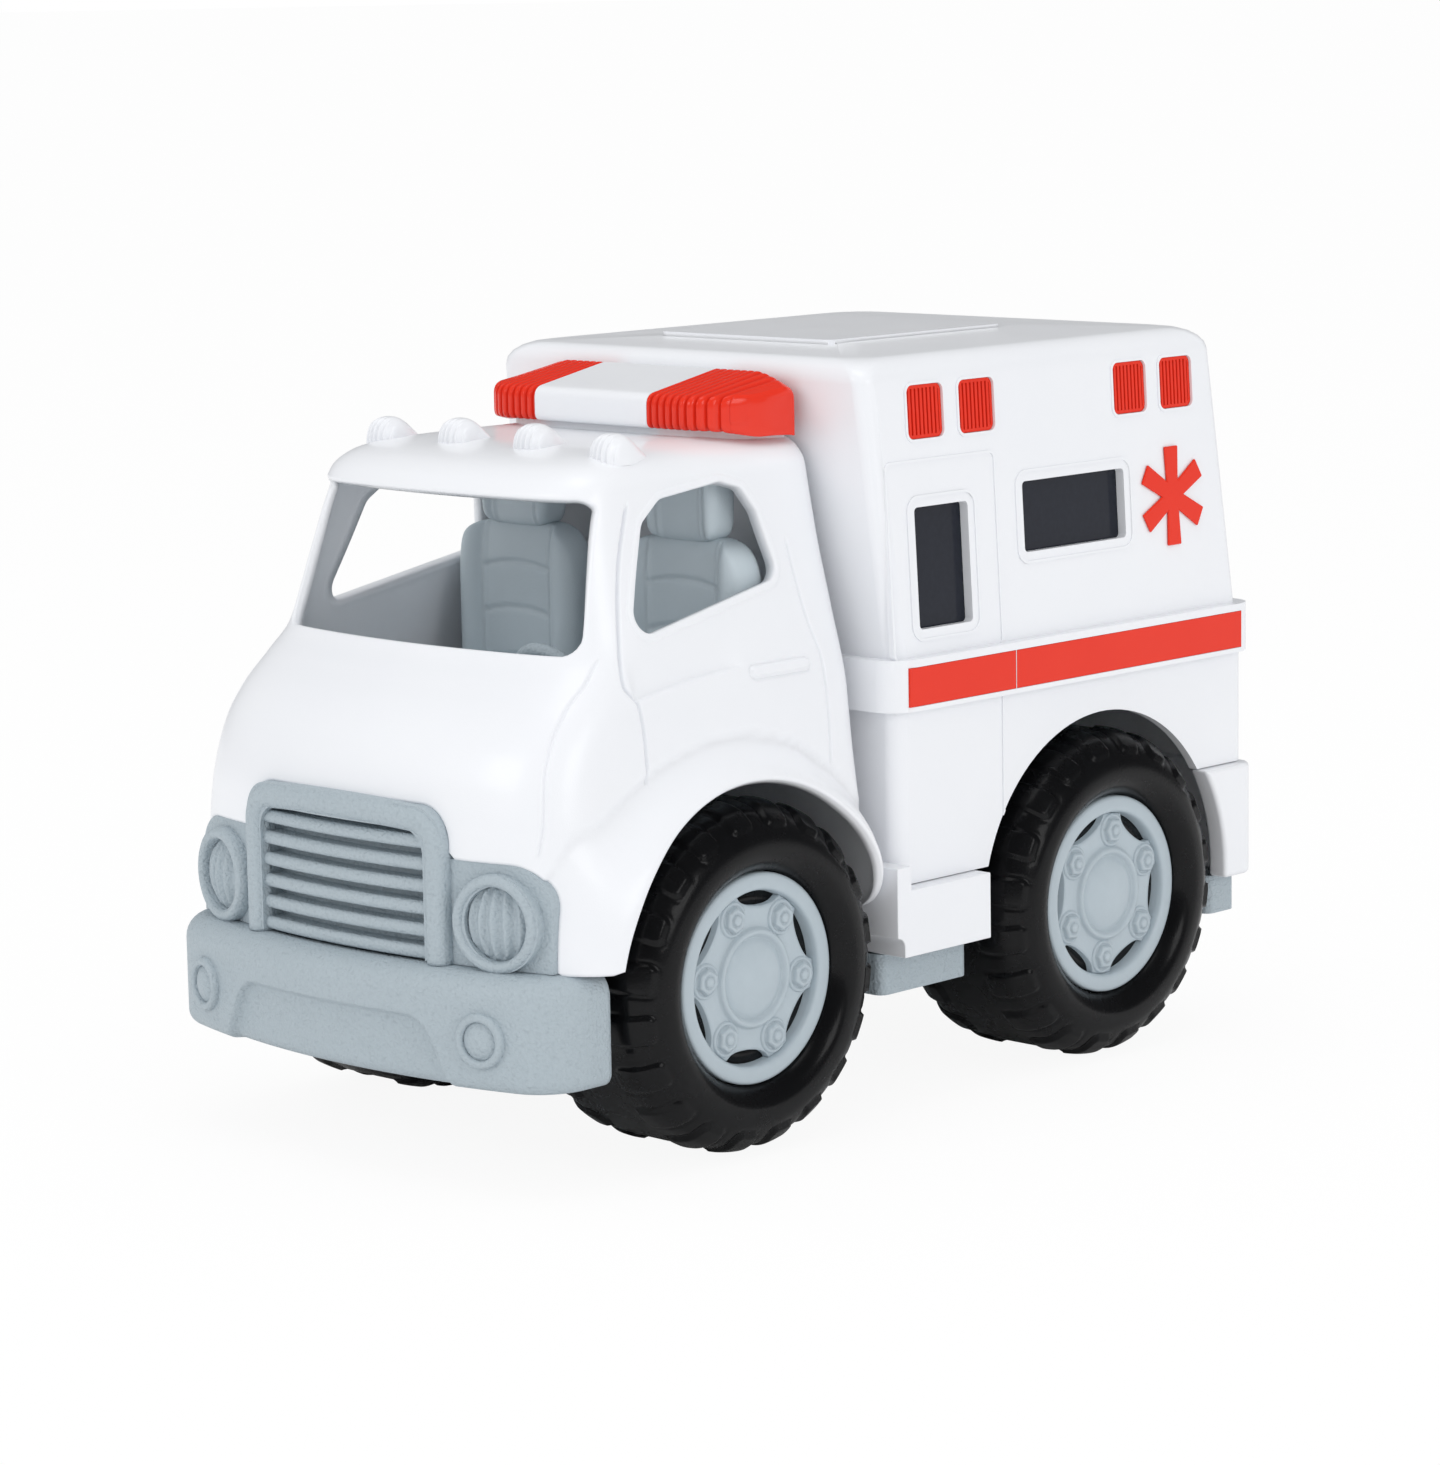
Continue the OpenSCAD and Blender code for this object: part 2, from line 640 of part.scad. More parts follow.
module cab_interior() color(seat_grey) difference() {
    union() {
        translate([-tray_w / 2, tray_front, floor_z]) cube([tray_w, tray_back - tray_front, wall]);
        for (s = [-1, 1]) translate([s * seat_x, 0, 0]) seat();
        translate([-dash_w / 2, 0, 0]) on_side(dash_w) polygon([
            [tray_front, floor_z], [tray_front + dash_d, floor_z], [tray_front + dash_d,
                dash_top - dash_d / 2],
            [tray_front + dash_d * .7, dash_top], [tray_front, dash_top - wall]]);
        posts(front_post_ys, floor_z + wall);
    }
    translate([seat_x, wheel_y, wheel_z]) rotate([wheel_tilt, 0, 0]) translate([0, 0, -column_len])
        cylinder(r = column_r + fit_gap, h = column_len);
}

// Steering wheel on a stub column in the dash
wheel_rim_r = 13;
wheel_tube_r = 1.9;
wheel_hub_r = 4;
wheel_tilt = -62;
column_r = 2.4;
column_len = 12;
wheel_y = tray_front + dash_d + wheel_hub_r * 1.2;
wheel_z = dash_top - wheel_rim_r * .55;
spoke_w = 3;
module steering_wheel() color(grey) translate([seat_x, wheel_y, wheel_z]) rotate([wheel_tilt, 0, 0]) {
    rotate_extrude() translate([wheel_rim_r, 0]) circle(wheel_tube_r);
    cylinder(r = wheel_hub_r, h = 2 * wheel_tube_r, center = true);
    for (a = [0, 120, 240]) rotate(a + 90) translate([0, -spoke_w / 2, -wheel_tube_r / 2])
        cube([wheel_rim_r, spoke_w, wheel_tube_r]);
    translate([0, 0, -column_len]) cylinder(r = column_r, h = column_len);
}

// Light bar: a faceted loaf across the roof, cut into a white middle and two ribbed red lenses
bar_z = cab_top_z + seat_gap;
bar_drop = 2;
bar_len = 31;
bar_front = cab_back - bar_len;
bar_taper = 6;
bar_mid_w = 44;
bar_top_w = 68;
bar_end_h = 9;
bar_front_h = 11;
rib_count = 9;
rib_w = 0.9;
rib_d = 0.7;
module bar_loaf(inset) {
    top = bar_z + bar_h - inset;
    half = bar_w / 2 - inset;
    intersection() {
        translate([-bar_w, 0, 0]) on_side(2 * bar_w) polygon([
            [cab_back - wall - seat_gap, bar_z - bar_drop], [cab_back - wall - seat_gap, top],
                [cab_back - 2 * wall, top],
            [bar_front + inset + wall, bar_z + bar_front_h + wall / 2 - inset],
            [bar_front + inset, bar_z + bar_front_h - inset], [bar_front + inset, bar_z - bar_drop]]);
        translate([0, cab_back, 0]) on_front(cab_run) polygon([
            [-half, bar_z - bar_drop], [-half, bar_z + bar_end_h - inset], [wall / 2 - half,
                bar_z + bar_end_h + wall - inset],
            [-bar_top_w / 2, top], [bar_top_w / 2, top], [half - wall / 2,
                bar_z + bar_end_h + wall - inset],
            [half, bar_z + bar_end_h - inset], [half, bar_z - bar_drop],
            [half - 2 * wall, bar_z], [2 * wall - half, bar_z]]);
        translate([0, 0, bar_z - bar_h]) linear_extrude(3 * bar_h) polygon([
            [-half, cab_back], [half, cab_back], [half, bar_front + bar_h], [half - bar_taper, bar_front],
            [bar_taper - half, bar_front], [-half, bar_front + bar_h]]);
    }
}
module light_bar_cover() color(white) intersection() {
    bar_loaf(0);
    translate([-bar_mid_w / 2, cab_nose, 0]) cube([bar_mid_w, cab_run, 2 * cab_top_z]);
}
module bar_lens() {
    pitch = (bar_w / 2 - bar_mid_w / 2) / (rib_count + 1);
    intersection() {
        difference() {
            bar_loaf(0);
            difference() {
                for (k = [1 : rib_count])
                    translate([bar_mid_w / 2 + pitch * k - rib_w / 2, cab_nose, bar_z])
                    cube([rib_w, cab_run, 2 * bar_h]);
                bar_loaf(rib_d);
            }
        }
        translate([bar_mid_w / 2 + fit_gap, cab_nose, 0]) cube([bar_w, cab_run, 2 * cab_top_z]);
    }
}
module light_bar_left_lens() color(red) bar_lens();
module light_bar_right_lens() color(red) mirror([1, 0, 0]) bar_lens();

// Box loft: stacked rounded rectangles, stepped out at the belt, leaning in and raked forward above it
step_h = 20;
box_bot = chassis_top + step_h;
corner_r = 5;
roof_round = 7;
roof_crown = 1.4;
roof_panel_w = 70;
roof_panel_shares = [.382, .46];
roof_panel_set = box_run * roof_panel_shares[0];
roof_panel_len = box_run * roof_panel_shares[1];
roof_panel_rise = 1;
round_steps = 5;

// One ring between a front and a back, with round corners of radius r
function box_ring(half, y0, y1, z, r) = let(
    centres = [[half - r, y1 - r], [r - half, y1 - r], [r - half, y0 + r], [half - r, y0 + r]],
    steps = loft_fn / 4
) [for (q = [0 : 3]) for (i = [0 : steps - 1]) let(a = 90 * q + 90 * i / (steps - 1))
    [centres[q][0] + r * cos(a), centres[q][1] + r * sin(a), z]];
// Upper walls at height z, drawn in by inset
function high_ring(z, inset, r) = let(t = (z - belt_top) / lean_h)
    box_ring(wall_half - side_lean * t - inset, wall_front - end_rake * t + inset,
        high_rear - end_rake * t - inset, z, r);
function box_rings() = concat(
    [for (z = [box_bot, belt_z]) box_ring(wall_half, wall_front, low_rear, z, corner_r)],
    [for (z = [belt_z, belt_top]) box_ring(belt_half, belt_front, rear_y, z, corner_r + belt_d)],
    [high_ring(belt_top, 0, corner_r)],
    [for (k = [0 : round_steps]) let(a = 90 * k / round_steps)
        high_ring(roof_z - roof_round + roof_round * sin(a), roof_round * (1 - cos(a)),
            corner_r + roof_round * (1 - cos(a)))],
    [high_ring(roof_z + roof_crown, wall_half / 2, corner_r + roof_round)]
);
function box_inner_rings() = concat(
    [for (z = [box_bot - over, belt_top])
        box_ring(wall_half - wall, wall_front + wall, high_rear - wall, z, corner_r - wall)],
    [for (k = [0 : round_steps]) let(a = 90 * k / round_steps, r = roof_round - wall)
        high_ring(roof_z - roof_round + r * sin(a), wall + r * (1 - cos(a)), corner_r + r * (1 - cos(a)))]
);

// Places on the side walls as shares: run behind the belt's front and height over the belt, then sizes
door_win_shares = [.1576, .2924, .1385, .4094];
side_win_shares = [.514, .414, .2806, .2433];
side_door_shares = [.16, .324, .277, .648];
lens_y_shares = [.1278, .2615, .6806, .8125];
star_shares = [.788, .4152, 0, 0];
stripe_shares = [.0334, .3128, .9528];
function on_box(s) = [box_run * s[0], lean_h * s[1], box_run * s[2], lean_h * s[3]];
door_win = on_box(door_win_shares);
side_win = on_box(side_win_shares);
win_r = 1.4;
win_frame = 2.6;
line_w = 0.8;
line_d = 0.4;
side_door = on_box(side_door_shares);
side_door_r = 1.6;
lens_ys = box_run * lens_y_shares;
lens_drop = 16;
lens_w = 15.6;
lens_h = 15.5;
lens_r = 2.2;
lens_ribs = 8;
star_at = on_box(star_shares);
star_len = 30;
star_root = 4.8;
star_tip = 6.4;
star_t = 0.8;
pane_t = 2;
pane_lap = 2;

// The leaning left wall as a drawing plane: x runs back from the belt's front, y up the wall, out of
// the wall is +
module on_wall(depth, d) {
    translate([wall_half, belt_front, belt_top]) rotate([0, -lean_angle, 0])
        translate([depth, 0, 0]) on_side(d) children();
}
module at_place(p) { translate([p[0], p[1]]) children(); }
module outline(w, h, r) {
    difference() {
        round_rect(w + 2 * line_w, h + 2 * line_w, r + line_w);
        round_rect(w, h, r);
    }
}
lens_v = (lean_h - lens_drop) / cos(lean_angle);

// Raised lines round the door and the windows of one side
module side_lines() {
    on_wall(-wall / 2, wall / 2 + line_d) {
        at_place(door_win) outline(door_win[2] + 2 * win_frame, door_win[3] + 2 * win_frame,
            win_r + win_frame);
        at_place(side_win) outline(side_win[2] + 2 * win_frame, side_win[3] + 2 * win_frame,
            win_r + win_frame);
        difference() {
            at_place(side_door) outline(side_door[2], side_door[3], side_door_r);
            translate([-door_win[0], -2 * corner_r]) square([3 * door_win[0], 2 * corner_r]);
        }
        for (y = lens_ys) translate([y, lens_v]) outline(lens_w, lens_h, lens_r);
    }
    // The door's rear line runs on down the lower wall
    translate([wall_half - wall / 2, belt_front + side_door[0] + side_door[2] / 2, box_bot])
        cube([wall / 2 + line_d, line_w, belt_z - box_bot]);
}
module side_holes() {
    on_wall(-2 * wall, 3 * wall) {
        at_place(door_win) round_rect(door_win[2], door_win[3], win_r);
        at_place(side_win) round_rect(side_win[2], side_win[3], win_r);
        for (y = lens_ys) translate([y, lens_v]) round_rect(lens_w, lens_h, lens_r);
    }
    // The stripe's shallow bed in the belt
    stripe_shape(stripe_bed + over, 0);
}

// Rear doors: two leaves on upright pivots in a framed opening of the raked back
leaf_w = 57;
leaf_t = 4;
leaf_gap = 0.5;
pivot_r = 3;
pin_r = 1.8;
pin_len = 3;
door_foot_z = floor_z + 2 * wall;
door_head = 14;
jamb_room = 1.5;
jamb_t = 5;
jamb_d = 9;
leaf_h = (roof_z - door_head - door_foot_z) / cos(rake_angle);
leaf_foot = (door_foot_z - belt_top) / cos(rake_angle);
hinge_x = leaf_w + leaf_gap;
open_half = hinge_x + pivot_r + jamb_room;
leaf_win = [26, 62, 30, 34];
leaf_belt_in = 1.5;
leaf_belt_out = 10;
grip_w = 5;
grip_len = 20;
grip_d = 2.4;

// The raked back as a frame: its origin lies on the outer face at the belt's top edge
module on_back() { translate([0, high_rear, belt_top]) rotate([rake_angle, 0, 0]) children(); }
module door_frame() on_back() translate([-open_half - jamb_t, -jamb_d, leaf_foot - leaf_gap - jamb_t])
    cube([2 * (open_half + jamb_t), jamb_d - wall / 2, leaf_h + 2 * (leaf_gap + jamb_t)]);
module door_opening() on_back() {
    translate([-open_half, -2 * jamb_d, leaf_foot - leaf_gap])
        cube([2 * open_half, 4 * jamb_d, leaf_h + 2 * leaf_gap]);
    for (s = [-1, 1]) translate([s * hinge_x, -pivot_r, leaf_foot - leaf_gap - pin_len])
        cylinder(r = pin_r + 2 * fit_gap, h = leaf_h + 2 * (leaf_gap + pin_len), $fn = loft_fn);
}
module box_shell() color(white) difference() {
    $fn = loft_fn;
    union() {
        difference() {
            skin(box_rings());
            skin(box_inner_rings());
        }
        both() side_lines();
        translate([0, belt_front + roof_panel_set, roof_z - wall / 2])
            linear_extrude(wall / 2 + roof_crown + roof_panel_rise)
            round_rect(roof_panel_w, roof_panel_len, wall);
        intersection() {
            door_frame();
            skin(box_rings());
        }
    }
    both() side_holes();
    door_opening();
    for (y = [front_axle_y, rear_axle_y]) translate([0, y, axle_z]) bar_x(arch_r, -belt_w, belt_w);
    // Room for the rear bumper
    translate([-belt_w, rear_axle_y, box_bot - over])
        cube([2 * belt_w, box_run, rear_bumper_top + seat_gap - box_bot + over]);
}

module patient_floor() color(grey) {
    bay_front = wall_front + wall + seat_gap;
    bay_back = high_rear - wall - seat_gap - jamb_d / 2;
    translate([0, (bay_front + bay_back) / 2, floor_z]) linear_extrude(wall)
        round_rect(2 * (wall_half - wall - seat_gap), bay_back - bay_front, corner_r - wall);
    posts(rear_post_ys, floor_z + wall);
}

// Side step: a board with a horn that rises in front, between cab and box
step_bot = chassis_top + seat_gap;
step_top = box_bot - seat_gap;
step_front = wall_front + wall / 2;
step_back = sill_mid + sill_run / 2;
horn_h = 7;
step_lap = 12;
horn_top = step_top + horn_h;
horn_t = wall_front - cab_back - 2 * seat_gap;
horn_front = cab_back + seat_gap;
module side_step() color(white) translate([wall_half - step_lap, 0, 0])
    on_side(step_w / 2 - wall_half + step_lap) difference() {
        union() {
            translate([step_front, step_bot]) square([step_back - step_front, step_top - step_bot]);
            translate([horn_front, step_bot + wall]) square([horn_t, horn_top - step_bot - wall]);
            translate([horn_front + horn_t / 2, step_bot])
                square([step_front - horn_front, step_top - step_bot]);
        }
        translate([horn_front, step_bot + wall]) circle(horn_t / 2);
        translate([front_axle_y, axle_z]) circle(arch_r);
    }

// Rear bumper: a deep wrap-around moulding behind the rear wheels
rear_bumper_z = chassis_top + seat_gap;
rear_bumper_top = rear_bumper_z + rear_bumper_h;
rear_bumper_r = 6;
rear_bumper_t = 7;
module rear_bumper() color(white) difference() {
    translate([0, rear_y - arch_r / 2, rear_bumper_z]) linear_extrude(rear_bumper_h) difference() {
        round_rect(rear_bumper_w, arch_r, rear_bumper_r);
        translate([0, -rear_bumper_t]) square([rear_bumper_w - 2 * rear_bumper_t, arch_r], center = true);
    }
    translate([0, rear_axle_y, axle_z]) bar_x(arch_r, -rear_bumper_w, rear_bumper_w);
    translate([-rear_bumper_w, rear_axle_y - arch_r, rear_bumper_z - over])
        cube([2 * rear_bumper_w, arch_r + tyre_r * .9, rear_bumper_h + 2 * over]);
}

// Dark panes lie behind the walls
module pane(place) {
    on_wall(-wall - pane_t - fit_gap, pane_t) at_place(place)
        round_rect(place[2] + 2 * pane_lap, place[3] + 2 * pane_lap, win_r);
}
module door_window() color(glass) pane(door_win);
module side_window() color(glass) pane(side_win);
// Red lamps in the wall, each with a flange behind the wall, a rim and upright ribs
module marker_lenses() color(red) for (y = lens_ys) {
    on_wall(-wall - pane_t - fit_gap, pane_t) translate([y, lens_v])
        round_rect(lens_w + pane_lap, lens_h + pane_lap, lens_r);
    on_wall(-wall - pane_t / 2, wall / 2 + pane_t / 2) translate([y, lens_v])
        round_rect(lens_w - 2 * fit_gap, lens_h - 2 * fit_gap, lens_r);
    on_wall(-wall, wall - line_d) translate([y, lens_v]) difference() {
        round_rect(lens_w - 2 * fit_gap, lens_h - 2 * fit_gap, lens_r);
        round_rect(lens_w - lens_r, lens_h - lens_r, lens_r / 2);
    }
    pitch = (lens_w - lens_r) / lens_ribs;
    on_wall(-wall, wall - line_d) for (k = [0 : lens_ribs - 1])
        translate([y - (lens_w - lens_r) / 2 + pitch * (k + .2), lens_v - lens_h / 2 + lens_r / 2])
            square([pitch * .6, lens_h - lens_r]);
}
module star() color(red) on_wall(fit_gap / 2, star_t) at_place(star_at)
    for (a = [0 : 60 : 300]) rotate(a) polygon([[-star_root / 2, 0], [star_root / 2, 0],
        [star_tip / 2, star_len / 2], [-star_tip / 2, star_len / 2]]);

// Red stripe: two strips in the belt's shallow bed, parted at the door
stripe_h = 11.4;
stripe_up = 1.4;
stripe_front = box_run * stripe_shares[0];
stripe_split = box_run * stripe_shares[1];
stripe_back = box_run * stripe_shares[2];
stripe_bed = 0.8;
stripe_seam = 0.2;
module stripe_shape(t, gap) {
    translate([belt_half - stripe_bed, belt_front, belt_z]) on_side(t) {
        translate([stripe_front + gap, stripe_up + gap])
            square([stripe_split - stripe_front - 2 * gap - stripe_seam / 2, stripe_h - 2 * gap]);
        translate([stripe_split + stripe_seam / 2 + gap, stripe_up + gap])
            square([stripe_back - stripe_split - 2 * gap - stripe_seam / 2, stripe_h - 2 * gap]);
    }
}
module stripe() color(red) stripe_shape(stripe_bed, fit_gap);

// One leaf in its own frame: hinge line on Z, the leaf runs along -X and faces +Y
module leaf_frame(turn) on_back() translate([hinge_x, -pivot_r, leaf_foot]) rotate(-turn) children();
module rear_door() color(white) leaf_frame(door_turn) difference() {
    union() {
        translate([-leaf_w, pivot_r - leaf_t, 0]) cube([leaf_w, leaf_t, leaf_h]);
        cylinder(r = pivot_r, h = leaf_h);
        translate([0, 0, -pin_len]) cylinder(r = pin_r, h = leaf_h + 2 * pin_len);
        // The belt runs on across the leaf
        translate([leaf_belt_in - leaf_w, 0, -leaf_foot - belt_h / cos(rake_angle)])
            cube([leaf_w - leaf_belt_in - leaf_belt_out, pivot_r + belt_d, belt_h / cos(rake_angle)]);
        // Grip beside the meeting edge
        translate([grip_w / 2 - leaf_w, 0, leaf_h * .42]) cube([grip_w, pivot_r + grip_d, grip_len]);
        translate([-leaf_win[0] - pivot_r, pivot_r - wall / 2, leaf_win[1]]) rotate([-90, 0, 0])
            linear_extrude(wall / 2 + line_d)
            outline(leaf_win[2] + 2 * win_frame, leaf_win[3] + 2 * win_frame, win_r + win_frame);
    }
    translate([-leaf_win[0] - pivot_r, -leaf_t, leaf_win[1]]) rotate([-90, 0, 0]) linear_extrude(3 * leaf_t)
        round_rect(leaf_win[2], leaf_win[3], win_r);
}
module rear_window() color(glass) leaf_frame(door_turn)
    translate([-leaf_win[0] - pivot_r, pivot_r - leaf_t - fit_gap - pane_t, leaf_win[1]])
        rotate([-90, 0, 0])
        linear_extrude(pane_t) round_rect(leaf_win[2] + 2 * pane_lap, leaf_win[3] + 2 * pane_lap, win_r);

// Wheels are drawn round the X axis with the outer side at +X, then set on their axle
shoulder_r = 15;
tyre_wall = 4;
bead_w = 12;
lip_w = 6;
hub_wall = 4;
plate_in = 4.5;
plate_t = 5;
ring_w = 6.5;
nut_count = 6;
nut_circle_r = 18.6;
nut_r = 3.5;
nut_h = 3.2;
stud_r = 1.5;
seat_rise = 1.2;
scallop_r = 5;
cap_ring_r = 9.5;
cap_r = 7.6;
cap_dome = 2.4;
hub_face = tyre_out - rim_inset;
hub_in = tyre_in + 2 * wall;
axle_end = hub_face - plate_in;

module tyre_section(drop) {
    difference() {
        intersection() {
            round_rect(2 * (tyre_r - drop), tyre_w - 2 * drop, shoulder_r - drop);
            translate([rim_r + fit_gap, -tyre_w]) square([tyre_r, 2 * tyre_w]);
        }
        for (s = [-1, 1]) polygon([[rim_r, s * (tyre_w / 2 - rim_inset)], [rim_r + lip_w,
            s * (tyre_w / 2 + fit_gap)],
            [rim_r + lip_w, s * tyre_w], [rim_r, s * tyre_w]]);
    }
}
module around_x(x) { translate([x, 0, 0]) rotate([0, 90, 0]) children(); }
module tyre() color(black) around_x(tyre_out - tyre_w / 2) difference() {
    rotate_extrude() tyre_section(0);
    // The carcass is hollow and opens towards the hub between its beads
    rotate_extrude() {
        translate([rim_r + tyre_wall, tyre_wall + rim_inset - tyre_w / 2])
            square([tyre_r - shoulder_r - rim_r - tyre_wall + over, tyre_w - 2 * (tyre_wall + rim_inset)]);
        intersection() {
            round_rect(2 * (tyre_r - tyre_wall), tyre_w - 2 * tyre_wall, shoulder_r - tyre_wall);
            translate([tyre_r - shoulder_r, -tyre_w / 2]) square([shoulder_r, tyre_w]);
        }
        translate([rim_r - over, bead_w - tyre_w / 2]) square([tyre_wall + 2 * over, tyre_w - 2 * bead_w]);
    }
    // Grooves between the lugs, cut down to the carcass
    difference() {
        for (k = [0 : lug_count - 1]) rotate(360 * k / lug_count)
            translate([tyre_r - shoulder_r, -groove_w / 2, -tyre_w])
                cube([shoulder_r + over, groove_w, 2 * tyre_w]);
        rotate_extrude() translate([0, -tyre_w / 2 + lug_h]) square([tyre_r - lug_h, tyre_w - 2 * lug_h]);
    }
}
module hub(turn) color(hub_grey) around_x(0) rotate(turn) difference() {
    union() {
        rotate_extrude() {
            translate([rim_r - hub_wall, hub_in]) square([hub_wall, hub_face - hub_in]);
            translate([0, hub_face - plate_in - plate_t]) square([rim_r - hub_wall / 2, plate_t]);
            translate([rim_r - ring_w, hub_face - plate_in - plate_t]) square([ring_w, plate_in + plate_t]);
        }
        // Sleeve on the axle and the domed cap in its ring
        translate([0, 0, hub_in]) cylinder(r = 2 * axle_r, h = hub_face - plate_in - hub_in);
        translate([0, 0, hub_face - plate_in - over]) {
            difference() {
                cylinder(r = cap_ring_r, h = plate_in);
                cylinder(r = cap_r + line_w, h = 2 * plate_in);
            }
            domed_lens(cap_r, plate_in - over, cap_dome);
        }
        for (k = [0 : nut_count - 1]) rotate(360 * k / nut_count)
            translate([nut_circle_r, 0, hub_face - plate_in - over]) {
            cylinder(r = nut_r + line_w, h = over + seat_rise);
            cylinder(r = nut_r, h = over + nut_h, $fn = 6);
            cylinder(r = stud_r, h = over + nut_h + seat_rise);
        }
    }
    // Scalloped openings between the nuts
    for (k = [0 : nut_count - 1]) rotate(360 * (k + .5) / nut_count)
        translate([nut_circle_r + line_w, 0, hub_face - plate_in - plate_t - over])
            cylinder(r = scallop_r, h = plate_t + 2 * over);
    translate([0, 0, hub_in - over]) cylinder(r = axle_r + axle_fit / 2,
        h = axle_end - hub_in + over + fit_gap);
}
module axle(y) color(steel) translate([0, y, axle_z])
    bar_x(axle_r, -axle_end + plate_t / 2, axle_end - plate_t / 2);
// Set a wheel piece on an axle, mirrored for the right side
module wheel_at(y, side) { translate([0, y, axle_z]) mirror([side < 0 ? 1 : 0, 0, 0]) children(); }
module right() { mirror([1, 0, 0]) children(); }
rear_turn = 180 / nut_count;

chassis();
axle_keeper(front_axle_y);  // front_axle_keeper
axle_keeper(rear_axle_y);  // rear_axle_keeper
chassis_screws();
front_bumper();
grille_panel();
headlight_lenses();
fog_lamp_lenses();
cab_shell();
cab_interior();
steering_wheel();
light_bar_cover();
light_bar_left_lens();
light_bar_right_lens();
box_shell();
patient_floor();
side_step();  // left_side_step
right() side_step();  // right_side_step
rear_bumper();
door_window();  // left_door_window
side_window();  // left_side_window
right() door_window();  // right_door_window
right() side_window();  // right_side_window
marker_lenses();  // left_marker_lenses
right() marker_lenses();  // right_marker_lenses
star();  // left_star
right() star();  // right_star
stripe();  // left_stripe
right() stripe();  // right_stripe
rear_door();  // left_rear_door
rear_window();  // left_rear_window
right() rear_door();  // right_rear_door
right() rear_window();  // right_rear_window
axle(front_axle_y);  // front_axle
wheel_at(front_axle_y, 1) tyre();  // front_left_tyre
wheel_at(front_axle_y, 1) hub(0);  // front_left_hub
wheel_at(front_axle_y, -1) tyre();  // front_right_tyre
wheel_at(front_axle_y, -1) hub(0);  // front_right_hub
axle(rear_axle_y);  // rear_axle
wheel_at(rear_axle_y, 1) tyre();  // rear_left_tyre
wheel_at(rear_axle_y, 1) hub(rear_turn);  // rear_left_hub
wheel_at(rear_axle_y, -1) tyre();  // rear_right_tyre
wheel_at(rear_axle_y, -1) hub(rear_turn);  // rear_right_hub
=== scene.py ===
import json
import math

import bmesh
import bpy
import numpy as np
from mathutils import Matrix, Vector

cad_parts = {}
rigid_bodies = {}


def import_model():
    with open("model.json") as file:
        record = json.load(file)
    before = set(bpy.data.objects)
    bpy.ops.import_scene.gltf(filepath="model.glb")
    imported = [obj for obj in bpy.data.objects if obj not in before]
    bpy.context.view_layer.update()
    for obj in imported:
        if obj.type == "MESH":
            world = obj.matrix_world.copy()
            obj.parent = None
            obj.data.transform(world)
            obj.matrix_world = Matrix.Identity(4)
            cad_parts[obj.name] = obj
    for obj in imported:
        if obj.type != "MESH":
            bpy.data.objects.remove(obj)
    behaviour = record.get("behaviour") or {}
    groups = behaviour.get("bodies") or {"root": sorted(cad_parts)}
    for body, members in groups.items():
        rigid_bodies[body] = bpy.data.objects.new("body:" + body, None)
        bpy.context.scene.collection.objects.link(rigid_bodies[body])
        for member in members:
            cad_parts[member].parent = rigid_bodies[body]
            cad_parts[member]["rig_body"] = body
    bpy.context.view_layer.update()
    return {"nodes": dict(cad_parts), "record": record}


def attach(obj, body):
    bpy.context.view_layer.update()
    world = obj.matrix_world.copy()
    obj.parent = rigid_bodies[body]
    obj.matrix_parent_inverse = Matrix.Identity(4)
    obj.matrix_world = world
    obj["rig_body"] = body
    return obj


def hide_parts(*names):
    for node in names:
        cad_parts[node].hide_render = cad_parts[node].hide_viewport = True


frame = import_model()
scene = bpy.context.scene
mm = 0.001
print("loaded", len(frame["nodes"]), "nodes")


class Wire:  # one output socket that takes part in sums
    def __init__(self, tree, socket):
        self.tree, self.socket = tree, socket

    def node(self, kind, inputs, out=0, **settings):  # any other node, fed with wires or numbers
        made = self.tree.nodes.new(kind)
        for key, value in settings.items():
            setattr(made, key, value)
        for key, value in inputs.items():
            if isinstance(value, Wire):
                self.tree.links.new(value.socket, made.inputs[key])
            else:
                made.inputs[key].default_value = value
        return Wire(self.tree, made.outputs[out])

    def maths(self, operation, *others):
        return self.node("ShaderNodeMath", dict(enumerate((self,) + others)), operation=operation)

    def __add__(self, other):
        return self.maths("ADD", other)

    def __sub__(self, other):
        return self.maths("SUBTRACT", other)

    def __rsub__(self, other):
        return self * -1 + other

    def __mul__(self, other):
        return self.maths("MULTIPLY", other)

    def __pow__(self, other):
        return self.maths("POWER", other)

    __radd__, __rmul__ = __add__, __mul__


def noise(place, perMetre, detail=2.0, rough=0.5):
    return place.node("ShaderNodeTexNoise", {
        "Vector": place, "Scale": perMetre, "Detail": detail, "Roughness": rough})


def blendColours(factor, first, second):
    return factor.node("ShaderNodeMix", {0: factor, 6: (*first, 1), 7: (*second, 1)}, out=2,
                       data_type="RGBA", clamp_factor=True)


def bump(height, distance, strength=1.0):
    return height.node("ShaderNodeBump", {
        "Height": height, "Distance": distance, "Strength": strength})


def paint(name, recipe, finish):  # fixed values go to the shader's sockets, the recipe's wires over them
    material = bpy.data.materials.new(name)
    material.use_nodes = True
    tree = material.node_tree
    shader = tree.nodes["Principled BSDF"]
    place = Wire(tree, tree.nodes.new("ShaderNodeTexCoord").outputs["Object"])
    for key, value in finish["fixed"].items():
        shader.inputs[key].default_value = value
    for key, wire in recipe(place, finish).items():
        tree.links.new(wire.socket, shader.inputs[key])
    return material


def mouldedRecipe(place, finish):  # one noise blends two colours, one varies the sheen, one is raised as grain
    tint, sheen, grain = (noise(place, *finish[key]) for key in ("tint", "sheen", "grain"))
    base, more = finish["rough"]
    return {"Base Color": blendColours(tint, *finish["colours"]),
            "Roughness": base + sheen * more, "Normal": bump(grain, *finish["relief"])}


